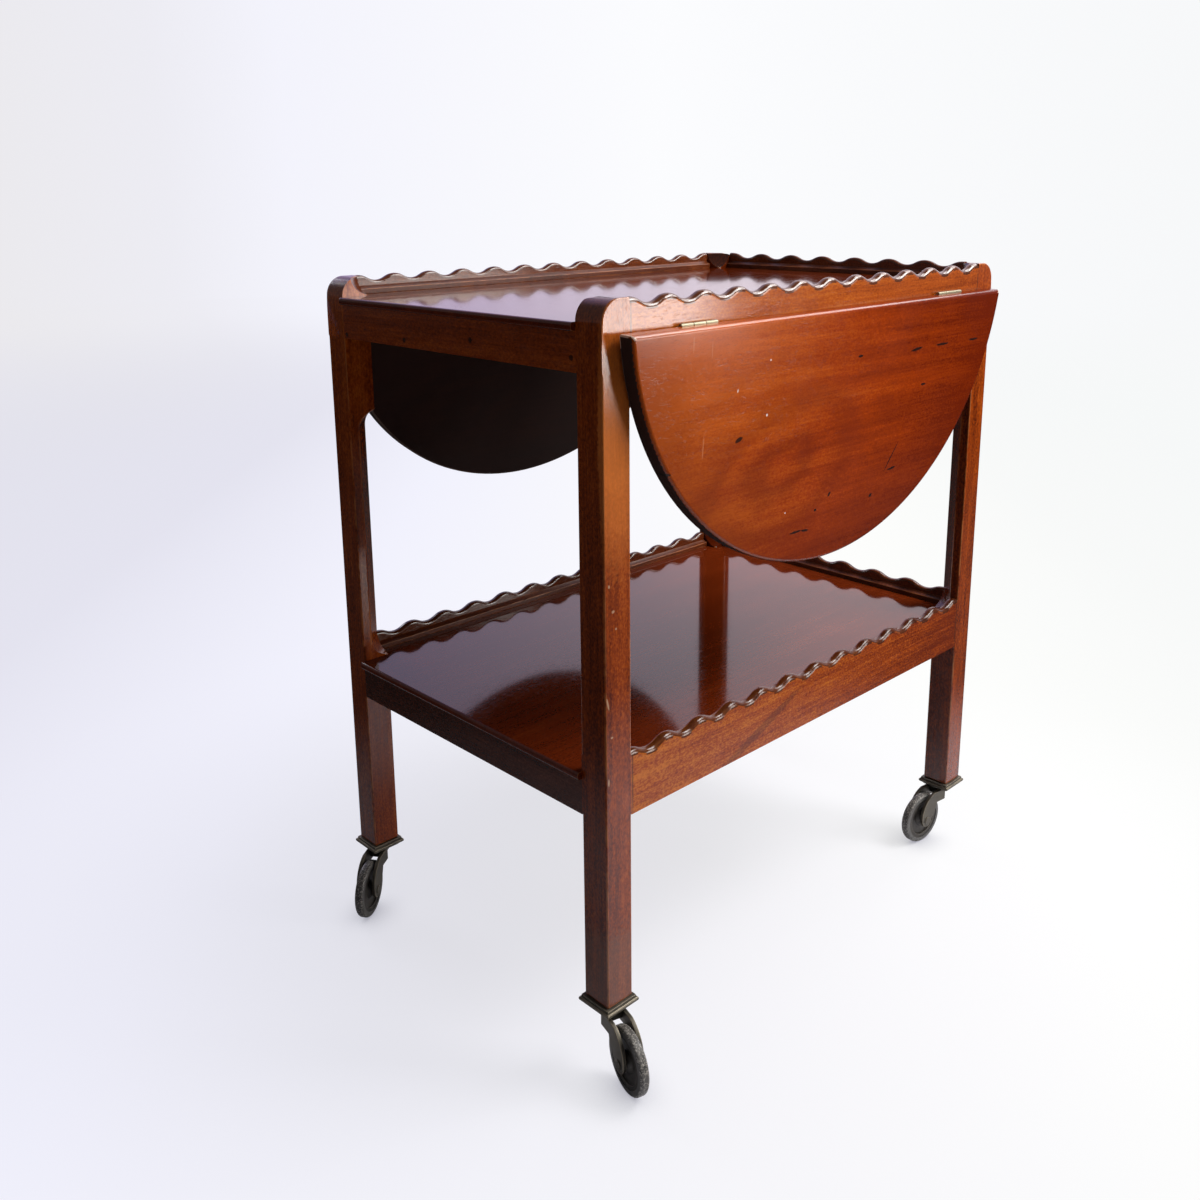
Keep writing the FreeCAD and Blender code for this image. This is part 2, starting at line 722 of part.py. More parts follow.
def hinges(name, side, angle):
    """A leaf's two butt hinges: plates and outer knuckles on the rail, middle knuckles on the leaf, pins."""
    knuckle = s.hinge_length / 3
    rail_plates = []
    leaf_plates = []
    pins = []
    for index, middle in enumerate(hinge_places(-side)):
        label = f"hinge_{name}_{index}"
        bore_radius = s.hinge_pin_radius + s.running_clearance
        start = (middle - s.hinge_length / 2, ZERO, ZERO)
        bore_start = (middle - s.hinge_length / 2 - s.overrun, ZERO, ZERO)
        bore_length = s.hinge_length + s.overrun * 2

        # The rail's plate lies in the rail's face, and a web carries its knuckles out to the hinge line.
        depth = s.hinge_plate_thickness
        plate_sizes = (s.hinge_length, depth, s.hinge_plate_depth)
        plate_y = s.hinge_standoff + depth / 2
        plate = centred_box(f"{label}_rail_plate", plate_sizes, (middle, plate_y, -(s.hinge_plate_depth / 2)))
        web_sizes = (s.hinge_length, s.hinge_standoff, depth)
        web = centred_box(f"{label}_web", web_sizes, (middle, s.hinge_standoff / 2, -(depth / 2)))
        barrel = cylinder(f"{label}_rail_barrel", s.knuckle_radius, s.hinge_length, start, ALONG)
        whole = fuse(f"{label}_rail_blank", [plate, web, barrel])
        gap_radius = s.knuckle_radius + s.knuckle_gap / 2
        gap_length = knuckle + s.knuckle_gap * 2
        gap_start = (middle - gap_length / 2, ZERO, ZERO)
        gap = cylinder(f"{label}_rail_gap", gap_radius, gap_length, gap_start, ALONG)
        bore = cylinder(f"{label}_rail_bore", bore_radius, bore_length, bore_start, ALONG)
        rail_plates.append(cut(f"{label}_rail_half", whole, [gap, bore]))

        # The leaf's plate lies in the leaf's back and carries the middle knuckle.
        plate_middle = (middle, -(depth / 2), -(s.hinge_plate_depth / 2))
        plate = centred_box(f"{label}_leaf_plate", plate_sizes, plate_middle)
        barrel_start = (middle - knuckle / 2, ZERO, ZERO)
        barrel = cylinder(f"{label}_leaf_barrel", s.knuckle_radius, knuckle, barrel_start, ALONG)
        clear_radius = s.knuckle_radius + s.knuckle_gap
        clear_length = knuckle - s.knuckle_gap / 2 + s.overrun
        clearings = []
        for way in (-1, 1):
            edge = middle + (knuckle / 2) * way
            clear_start = (edge if way > 0 else edge - clear_length, ZERO, ZERO)
            clear_name = f"{label}_leaf_clear_{'right' if way > 0 else 'left'}"
            clearings.append(cylinder(clear_name, clear_radius, clear_length, clear_start, ALONG))
        trimmed = cut(f"{label}_leaf_trimmed", plate, clearings)
        whole = fuse(f"{label}_leaf_blank", [trimmed, barrel])
        bore = cylinder(f"{label}_leaf_bore", bore_radius, bore_length, bore_start, ALONG)
        leaf_plates.append(cut(f"{label}_leaf_half", whole, [bore]))
        pins.append(cylinder(f"{label}_pin", s.hinge_pin_radius, s.hinge_length, start, ALONG))
    standing = FreeCAD.Rotation(UP, 0 if side < 0 else 180)
    swung = leaf_frame(side, angle)
    sets = (
        (f"hinge_rail_plates_{name}", rail_plates, standing),
        (f"hinge_leaf_plates_{name}", leaf_plates, swung),
        (f"hinge_pins_{name}", pins, standing),
    )
    for label, shapes, rotation in sets:
        item = group(f"{label}_group", shapes)
        place(item, ZERO, hinge_y * side, hinge_height, rotation)
        keep(item, label)


def stay(name, side, angle):
    """Prop stay of a leaf: a flat bar that folds under the top, its bracket and its pin."""
    label = f"leaf_stay_{name}"
    turn = FreeCAD.Rotation(UP, 0 if side < 0 else 180)
    folded = (angle - s.hanging_leaf_angle) * s.stay_ratio
    half = s.stay_thickness / 2
    bar_sizes = (s.stay_width, s.stay_length, s.stay_thickness)
    bar = centred_box(f"{label}_bar", bar_sizes, (ZERO, s.stay_length / 2, ZERO))
    ends = []
    for end, reach in (("heel", ZERO), ("tip", s.stay_length)):
        start = (-(s.stay_width / 2), reach, ZERO)
        ends.append(cylinder(f"{label}_{end}", half, s.stay_width, start, ALONG))
    blank = fuse(f"{label}_blank", [bar] + ends)
    bore_start = (-(s.stay_width / 2) - s.overrun, ZERO, ZERO)
    bore_length = s.stay_width + s.overrun * 2
    bore_radius = s.stay_pin_radius + s.running_clearance
    bore = cylinder(f"{label}_bore", bore_radius, bore_length, bore_start, ALONG)
    item = cut(label, blank, [bore])
    swung = turn.multiply(FreeCAD.Rotation(ALONG, -folded.value))
    place(item, ZERO, stay_pivot_y * side, stay_pivot_level, swung)
    keep(item, label)

    label = f"stay_bracket_{name}"
    thick = s.bracket_thickness
    inside = s.stay_width + s.stay_side_gap * 2
    plate_length = inside + thick * 2 + s.bracket_tab * 2
    plate_sizes = (plate_length, s.ear_radius * 2, thick)
    pieces = [centred_box(f"{label}_plate", plate_sizes, (ZERO, ZERO, s.stay_drop - thick / 2))]
    for way in (-1, 1):
        hand = "right" if way > 0 else "left"
        middle = (inside + thick) / 2 * way
        ear_sizes = (thick, s.ear_radius * 2, s.stay_drop)
        pieces.append(centred_box(f"{label}_ear_{hand}", ear_sizes, (middle, ZERO, s.stay_drop / 2)))
        start = (middle - thick / 2, ZERO, ZERO)
        pieces.append(cylinder(f"{label}_end_{hand}", s.ear_radius, thick, start, ALONG))
    blank = fuse(f"{label}_blank", pieces)
    pin_length = inside + thick * 2
    hole_start = (-(pin_length / 2) - s.overrun, ZERO, ZERO)
    hole_length = pin_length + s.overrun * 2
    hole = cylinder(f"{label}_hole", bore_radius, hole_length, hole_start, ALONG)
    item = cut(label, blank, [hole])
    place(item, ZERO, stay_pivot_y * side, stay_pivot_level, turn)
    keep(item, label)

    pin_start = (-(pin_length / 2), ZERO, ZERO)
    pin = cylinder(f"stay_pin_{name}_blank", s.stay_pin_radius, pin_length, pin_start, ALONG)
    item = group(f"stay_pin_{name}_group", [pin])
    place(item, ZERO, stay_pivot_y * side, stay_pivot_level, turn)
    keep(item, f"stay_pin_{name}")


def castor_cap(corner):
    """Square brass cap: foot that widens to a band, neck under the leg, spigot, and the pivot's bore."""
    side_x, side_y = CORNERS[corner]
    label = f"castor_cap_{corner}"
    body = new_body(f"{label}_foot")
    foot_height = s.cap_height - s.cap_band_height - s.cap_neck_height
    levels = (
        ("foot", s.cap_foot_width, cap_foot_level),
        ("brim", s.cap_neck_width, cap_foot_level + foot_height),
    )
    rings = []
    for name, width, level in levels:
        ring = new_sketch(body, "XY_Plane", f"{label}_{name}_ring", level)
        half = width / 2
        outline(ring, [(-half, -half), (half, -half), (half, half), (-half, half)])
        rings.append(ring)
    flare = body.newObject("PartDesign::AdditiveLoft", f"{label}_flare")
    flare.Profile = rings[0]
    flare.Sections = rings[1:]
    flare.Ruled = True
    band_width = s.cap_band_width
    band_level = cap_foot_level + foot_height + s.cap_band_height / 2
    band_sizes = (band_width, band_width, s.cap_band_height)
    band = centred_box(f"{label}_band", band_sizes, (ZERO, ZERO, band_level))
    document.recompute()
    outer = (band_width / 2).value
    softened = document.addObject("Part::Chamfer", f"{label}_softened")
    softened.Base = band
    bevel = (band_width - s.cap_neck_width).value / 4
    level_edges = edge_numbers(
        band.Shape,
        lambda edge, at: not near(at.z, band_level.value) and (near(abs(at.x), outer) or near(abs(at.y), outer)),
    )
    softened.Edges = [(number, bevel, bevel) for number in level_edges]
    neck_level = leg_foot_height - s.cap_neck_height / 2
    neck_sizes = (s.cap_neck_width, s.cap_neck_width, s.cap_neck_height)
    neck = centred_box(f"{label}_neck", neck_sizes, (ZERO, ZERO, neck_level))
    spigot_start = (ZERO, ZERO, leg_foot_height - s.cap_neck_height)
    spigot_length = s.spigot_length + s.cap_neck_height
    spigot = cylinder(f"{label}_spigot", s.spigot_radius, spigot_length, spigot_start, UP)
    blank = fuse(f"{label}_blank", [body, softened, neck, spigot])
    bore_start = (ZERO, ZERO, cap_foot_level - s.overrun)
    bore_radius = s.pivot_radius + s.running_clearance
    bore_length = s.pivot_length + s.overrun + s.fork_gap
    bore = cylinder(f"{label}_bore", bore_radius, bore_length, bore_start, UP)
    item = cut(label, blank, [bore])
    place(item, leg_x * side_x, leg_y * side_y, ZERO)
    return keep(item, label)


def castor_fork(corner):
    """Castor fork: a top plate with its pivot pin, a web, and two broad arms that hang to the axle."""
    label = f"castor_fork_{corner}"
    body = new_body(label)
    plate_level = crown_top - s.fork_plate_height
    end = s.fork_end_radius
    points = [
        (-s.fork_plate_reach, crown_top),
        (-s.fork_plate_reach, plate_level),
        (s.fork_face_reach, plate_level),
        (s.fork_face_reach, crown_bottom),
        (s.fork_shoulder_reach, crown_bottom),
        (s.castor_trail - end, axle_height),
        (s.castor_trail + end, axle_height),
        (s.fork_top_reach, crown_top),
    ]
    sweeps = {4: (s.fork_front_radius, -1), 5: (end * 1.0001, -1), 6: (s.fork_back_radius, -1)}
    side = new_sketch(body, "XZ_Plane", f"{label}_side")
    outline(side, points, sweeps)
    pad(body, side, f"{label}_cheeks", fork_outer_width, both_ways=True)
    slot = new_sketch(body, "XZ_Plane", f"{label}_slot")
    clear = s.castor_trail + s.wheel_radius
    web_level = crown_top - s.fork_web_height
    slot_points = [
        (-clear, ZERO),
        (clear, ZERO),
        (clear, crown_top + s.overrun),
        (s.fork_web_reach, crown_top + s.overrun),
        (s.fork_web_reach, web_level),
        (-clear, web_level),
    ]
    outline(slot, slot_points)
    pocket(body, slot, f"{label}_opening", fork_inner_width, both_ways=True)
    eye = new_sketch(body, "XZ_Plane", f"{label}_eye")
    circle(eye, (s.castor_trail, axle_height), s.axle_radius + s.running_clearance)
    pocket(body, eye, f"{label}_axle_hole", fork_outer_width + s.overrun, both_ways=True)
    stem = new_sketch(body, "XY_Plane", f"{label}_stem", crown_top)
    circle(stem, (ZERO, ZERO), s.pivot_radius)
    pad(body, stem, f"{label}_pivot", s.pivot_length)
    place_castor(body, corner)
    return keep(body, label)


def circle(item, centre, radius):
    """Circle in a sketch, tied to the sheet."""
    item.addGeometry(Part.Circle(flat(centre), UP, radius.value), False)
    tie_point(item, 0, 3, centre)
    tie(item, "Radius", 0, None, radius)


def place_castor(item, corner):
    """Put a piece that is built about its castor's pivot line under its leg."""
    side_x, side_y = CORNERS[corner]
    turn = FreeCAD.Rotation(UP, CASTOR_ANGLES[corner])
    place(item, leg_x * side_x, leg_y * side_y, ZERO, turn)


def turned_piece(label, corner, points, bends=None):
    """Piece turned about its castor's axle, from an outline of radius and reach."""
    body = new_body(label)
    section = new_sketch(body, "YZ_Plane", f"{label}_section", s.castor_trail)
    outline(section, [(reach, axle_height + radius) for radius, reach in points], bends)
    axis = section.addGeometry(Part.LineSegment(flat((ZERO, axle_height)), flat((hub_half, axle_height))), True)
    tie_point(section, axis, 1, (ZERO, axle_height))
    tie_point(section, axis, 2, (hub_half, axle_height))
    lathe = body.newObject("PartDesign::Revolution", f"{label}_turning")
    lathe.Profile = section
    lathe.ReferenceAxis = (section, ["Axis0"])
    lathe.Angle = 360
    body.Tip = lathe
    place_castor(body, corner)
    return keep(body, label)


def castor_wheel(corner):
    """Wheel disc with a recessed web, its rubber tyre, and the axle."""
    bore = s.axle_radius + s.running_clearance
    seat = s.wheel_radius - s.tyre_depth
    inside = seat - s.rim_depth
    hub = hub_half
    rim = s.rim_width / 2
    web = s.web_thickness / 2
    disc = [
        (bore, -hub),
        (s.hub_radius, -hub),
        (s.hub_base_radius, -web),
        (inside, -web),
        (inside, -rim),
        (seat, -rim),
        (seat, rim),
        (inside, rim),
        (inside, web),
        (s.hub_base_radius, web),
        (s.hub_radius, hub),
        (bore, hub),
    ]
    turned_piece(f"castor_wheel_{corner}", corner, disc)
    fitted = seat + s.running_clearance
    shoulder = s.wheel_radius - s.tyre_round
    side = s.tyre_width / 2
    flank = side - s.tyre_round
    tyre = [
        (fitted, -side),
        (shoulder, -side),
        (s.wheel_radius, -flank),
        (s.wheel_radius, flank),
        (shoulder, side),
        (fitted, side),
    ]
    turned_piece(f"castor_tyre_{corner}", corner, tyre, {1: (s.tyre_round, 1), 3: (s.tyre_round, 1)})
    label = f"castor_axle_{corner}"
    reach = fork_outer_width / 2
    head = s.axle_head_thickness
    start = (s.castor_trail, -reach - head, axle_height)
    shaft = cylinder(f"{label}_shaft", s.axle_radius, (reach + head) * 2, start, ACROSS)
    near_head = cylinder(f"{label}_near_head", s.axle_head_radius, head, start, ACROSS)
    far_start = (s.castor_trail, reach, axle_height)
    far_head = cylinder(f"{label}_far_head", s.axle_head_radius, head, far_start, ACROSS)
    axle = fuse(label, [shaft, near_head, far_head])
    place_castor(axle, corner)
    keep(axle, label)


def build():
    """Make every sub-part."""
    for corner in CORNERS:
        leg(corner)
    rails()
    for tier, level in (("upper", s.upper_tray_level), ("lower", s.lower_tray_level)):
        tray(tier, level)
        strips(tier, level)
    for name, side, angle in (("front", -1, s.front_leaf_angle), ("back", 1, s.back_leaf_angle)):
        leaf(name, side, angle)
        hinges(name, side, angle)
        stay(name, side, angle)
    for corner in CORNERS:
        castor_cap(corner)
        castor_fork(corner)
        castor_wheel(corner)


def write_parts():
    """Check every object, then write one file for each sub-part."""
    document.recompute()
    for item in document.Objects:
        if "Invalid" in item.State or "Error" in item.State:
            raise ValueError(f"{item.Label} failed: {item.State}")
    for item in finished:
        if item.Shape.isNull() or not item.Shape.isValid():
            raise ValueError(f"{item.Label} has no valid shape")
    os.makedirs("parts", exist_ok=True)
    for item in finished:
        item.Shape.exportStep(os.path.join("parts", f"{item.Label}.step"))


build()
write_parts()
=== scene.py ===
"""Looks of a drop leaf tea trolley: finishes, eased edges, small fittings, light and camera."""

import json
import logging
import math
from dataclasses import dataclass
from enum import Enum
from typing import Any, Callable, Sequence

import bmesh
import bpy
from mathutils import Matrix, Vector

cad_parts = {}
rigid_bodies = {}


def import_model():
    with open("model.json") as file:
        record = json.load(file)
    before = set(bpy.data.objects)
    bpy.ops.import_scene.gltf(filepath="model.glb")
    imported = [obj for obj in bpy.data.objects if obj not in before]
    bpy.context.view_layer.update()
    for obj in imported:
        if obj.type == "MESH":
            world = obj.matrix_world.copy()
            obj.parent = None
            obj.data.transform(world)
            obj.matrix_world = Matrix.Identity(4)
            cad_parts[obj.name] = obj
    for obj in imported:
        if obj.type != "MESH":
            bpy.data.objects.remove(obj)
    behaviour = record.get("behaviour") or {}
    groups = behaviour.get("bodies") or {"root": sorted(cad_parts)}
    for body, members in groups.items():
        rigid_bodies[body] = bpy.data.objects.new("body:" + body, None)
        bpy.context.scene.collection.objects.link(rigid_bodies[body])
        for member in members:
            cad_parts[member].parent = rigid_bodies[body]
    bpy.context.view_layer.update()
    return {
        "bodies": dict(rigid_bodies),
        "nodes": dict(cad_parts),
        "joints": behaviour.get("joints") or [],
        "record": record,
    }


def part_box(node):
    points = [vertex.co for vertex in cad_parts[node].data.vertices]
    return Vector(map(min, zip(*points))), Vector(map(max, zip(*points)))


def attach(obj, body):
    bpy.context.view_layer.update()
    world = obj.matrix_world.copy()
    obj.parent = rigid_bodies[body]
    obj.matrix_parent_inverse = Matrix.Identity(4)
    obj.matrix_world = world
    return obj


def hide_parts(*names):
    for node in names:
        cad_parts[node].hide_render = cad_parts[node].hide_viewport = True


LOG = logging.getLogger("tea_trolley")
# Outer faces of the front rails and of the front leaf, in metres across the trolley.
RAIL_FACE = -0.2125
LEAF_FACE = -0.2275
# Layers of the grain: repeats in a metre with it and across it, octaves and weight.
# The broad ones come first and the fine ones after them.
GRAIN_LAYERS = (
    ((1.2, 9.0), 2.0, 0.60), ((2.4, 60.0), 4.0, 0.50),
    ((11.0, 420.0), 2.0, 0.50), ((30.0, 90.0), 3.0, 0.35), ((330.0, 560.0), 1.0, 0.70),
)
BROAD_LAYERS = 2
# The mix node has sockets for every kind of data: these are its factor, its two colours and the mixed colour.
MIX_INPUTS = (0, 6, 7)
MIX_OUTPUT = 2

Colour = tuple[float, float, float]
Triple = tuple[float, float, float]
Pair = tuple[float, float]
Finish = bpy.types.Material
Edge = bmesh.types.BMEdge
EdgeTest = Callable[[Edge, Vector], bool]
Socket = bpy.types.NodeSocket


class Grain(Enum):
    """Way that the grain of a board runs in the trolley's frame."""

    ALONG = "X"
    ACROSS = "Y"
    UPRIGHT = "Z"

    def stretch(self, along: float, across: float) -> Triple:
        """Scales in X, Y, Z order of a pattern with these repeats in a metre along and across the grain."""
        first, second, third = (along if axis == self.value else across for axis in "XYZ")
        return first, second, third


@dataclass(frozen=True)
class Mark:
    """Small spot on a face: its middle, its half sizes and its turn, in the trolley's frame."""

    centre: Triple
    half: Triple
    turn: Triple = (0.0, 0.0, 0.0)

    @staticmethod
    def front(x: float, y: float, z: float, length: float, height: float, lean: float = 0.0,
              depth: float = 0.012) -> "Mark":
        """Spot on a front face, with half sizes, and a lean in degrees that lowers its right end."""
        return Mark((x, y, z), (length, depth, height), (0.0, math.radians(lean), 0.0))

    @staticmethod
    def end(x: float, y: float, z: float, length: float, height: float, depth: float = 0.008) -> "Mark":
        """Spot with these half sizes on a face that looks along the trolley."""
        return Mark((x, y, z), (depth, length, height))


@dataclass(frozen=True)
class Blemish:
    """Marks of one colour."""

    colour: Colour
    strength: float
    marks: tuple[Mark, ...]


class Tree:
    """Node tree, with short ways to add to it."""

    def __init__(self, owner: Finish | bpy.types.World) -> None:
        """Start an empty tree.

        Args:
            owner: what it belongs to.
        """
        owner.use_nodes = True
        owner.node_tree.nodes.clear()
        self.tree = owner.node_tree

    def add(self, kind: str, **settings: Any) -> bpy.types.Node:
        """Add a node.

        Args:
            kind: the node's type.
            **settings: properties to set on it.

        Returns:
            The new node.
        """
        node = self.tree.nodes.new(kind)
        for name, value in settings.items():
            setattr(node, name, value)
        return node

    def feed(self, socket: Socket, value: Any) -> None:
        """Link a socket to another, or set its value.

        Args:
            socket: input to feed.
            value: output to link it to, or a plain value.
        """
        if isinstance(value, bpy.types.NodeSocket):
            self.tree.links.new(value, socket)
        elif isinstance(value, tuple) and socket.type == "RGBA":
            socket.default_value = (*value, 1.0)
        else:
            socket.default_value = value

    def fill(self, node: bpy.types.Node, **values: Any) -> None:
        """Feed inputs of a node, which are named with underscores for spaces."""
        for name, value in values.items():
            self.feed(node.inputs[name.replace("_", " ")], value)

    def noise(self, vector: Socket, detail: float, roughness: float = 0.5, output: str = "Fac") -> Socket:
        """Noise on a vector.

        Args:
            vector: coordinates, with one repeat to the unit.
            detail: octaves.
            roughness: weight of the finer octaves.
            output: which output to take.

        Returns:
            The noise, about 0 to 1.
        """
        node = self.add("ShaderNodeTexNoise")
        self.fill(node, Vector=vector, Scale=1.0, Detail=detail, Roughness=roughness)
        return node.outputs[output]

    def vector(self, operation: str, first: Any, second: Any = (0.0, 0.0, 0.0), third: Any = (0.0, 0.0, 0.0),
               output: str = "Vector") -> Socket:
        """One sum on vectors.

        Args:
            operation: name of the sum.
            first: first vector or socket.
            second: second vector or socket.
            third: third vector or socket.
            output: which output to take.

        Returns:
            The result.
        """
        node = self.add("ShaderNodeVectorMath", operation=operation)
        for socket, value in zip(node.inputs, (first, second, third)):
            self.feed(socket, value)
        return node.outputs[output]

    def math(self, operation: str, first: Any, second: Any = 0.0, third: Any = 0.0) -> Socket:
        """One sum on numbers.

        Args:
            operation: name of the sum.
            first: first number or socket.
            second: second number or socket.
            third: third number or socket.

        Returns:
            The result.
        """
        node = self.add("ShaderNodeMath", operation=operation)
        for socket, value in zip(node.inputs, (first, second, third)):
            self.feed(socket, value)
        return node.outputs["Value"]

    def between(self, value: Socket, low: float, high: float, start: float = 0.0, end: float = 1.0) -> Socket:
        """Smooth step of a value.

        Args:
            value: number to map.
            low: where the step starts.
            high: where the step ends.
            start: result at low.
            end: result at high.

        Returns:
            The mapped number.
        """
        node = self.add("ShaderNodeMapRange", interpolation_type="SMOOTHSTEP")
        self.fill(node, Value=value, From_Min=low, From_Max=high, To_Min=start, To_Max=end)
        return node.outputs["Result"]

    def mix(self, factor: Any, first: Any, second: Any) -> Socket:
        """Mix of two colours.

        Args:
            factor: share of the second colour.
            first: first colour.
            second: second colour.

        Returns:
            The mixed colour.
        """
        node = self.add("ShaderNodeMix", data_type="RGBA", clamp_factor=True)
        for number, value in zip(MIX_INPUTS, (factor, first, second)):
            self.feed(node.inputs[number], value)
        return node.outputs[MIX_OUTPUT]

    def ramp(self, factor: Socket, stops: Sequence[tuple[float, Colour]]) -> Socket:
        """Colours along a number.

        Args:
            factor: number to look up.
            stops: places and their colours.

        Returns:
            The colour.
        """
        node = self.add("ShaderNodeValToRGB")
        elements = node.color_ramp.elements
        while len(elements) < len(stops):
            elements.new(0.5)
        for element, (place, colour) in zip(elements, stops):
            element.position = place
            element.color = (*colour, 1.0)
        self.fill(node, Fac=factor)
        return node.outputs["Color"]


class Graph(Tree):
    """Node tree of one material, which ends in a principled shader."""

    raggedness: float = 0.9
    mark_edge: Pair = (1.85, 1.35)

    def __init__(self, name: str) -> None:
        """Start the material.

        Args:
            name: name of the material.
        """
        self.material = bpy.data.materials.new(name)
        super().__init__(self.material)
        self.shader = self.add("ShaderNodeBsdfPrincipled")
        output = self.add("ShaderNodeOutputMaterial")
        self.fill(output, Surface=self.shader.outputs["BSDF"])
        self.place = self.add("ShaderNodeTexCoord").outputs["Object"]

    def mapped(self, scale: Triple, shift: Triple = (0, 0, 0), source: Socket | None = None) -> Socket:
        """Object coordinates, moved and scaled.

        Args:
            scale: scale on each axis.
            shift: location on each axis.
            source: coordinates to map in place of the object's own.

        Returns:
            The mapped vector.
        """
        node = self.add("ShaderNodeMapping")
        self.fill(node, Vector=source or self.place, Location=shift, Scale=scale)
        return node.outputs["Vector"]

    def even(self, repeats: float, shift: Triple = (0, 0, 0)) -> Socket:
        """Object coordinates with the same repeats in a metre on every axis."""
        return self.mapped((repeats, repeats, repeats), shift)

    def attribute(self, name: str) -> Socket:
        """Number that a piece carries on its faces, 0 where it has none."""
        return self.add("ShaderNodeAttribute", attribute_name=name).outputs["Fac"]

    def bump(self, height: Socket, strength: float, distance: float) -> Socket:
        """Normal from a height.

        Args:
            height: relief, 0 to 1.
            strength: how much of it shows.
            distance: its depth in metres.

        Returns:
            The normal.
        """
        node = self.add("ShaderNodeBump")
        self.fill(node, Strength=strength, Distance=distance, Height=height)
        return node.outputs["Normal"]

    def reach(self, centre: Triple, half: Triple, turn: Triple = (0.0, 0.0, 0.0)) -> Socket:
        """Distance from a point, 1 on an ellipsoid round it.

        Args:
            centre: the point.
            half: half axes of the ellipsoid.
            turn: its rotation in radians.

        Returns:
            The distance.
        """
        node = self.add("ShaderNodeMapping", vector_type="TEXTURE")
        self.fill(node, Vector=self.place, Location=centre, Rotation=turn, Scale=half)
        return self.vector("LENGTH", node.outputs["Vector"], output="Value")

    def spots(self, marks: Sequence[Mark], ragged: Socket) -> Socket:
        """Where a set of marks lies.

        Args:
            marks: the marks.
            ragged: noise that makes their edges uneven.

        Returns:
            A number, 1 inside the marks.
        """
        total: Any = 0.0
        for mark in marks:
            reach = self.reach(mark.centre, mark.half, mark.turn)
            reach = self.math("MULTIPLY_ADD", ragged, self.raggedness, reach)
            total = self.math("MAXIMUM", total, self.between(reach, *self.mark_edge))
        return total


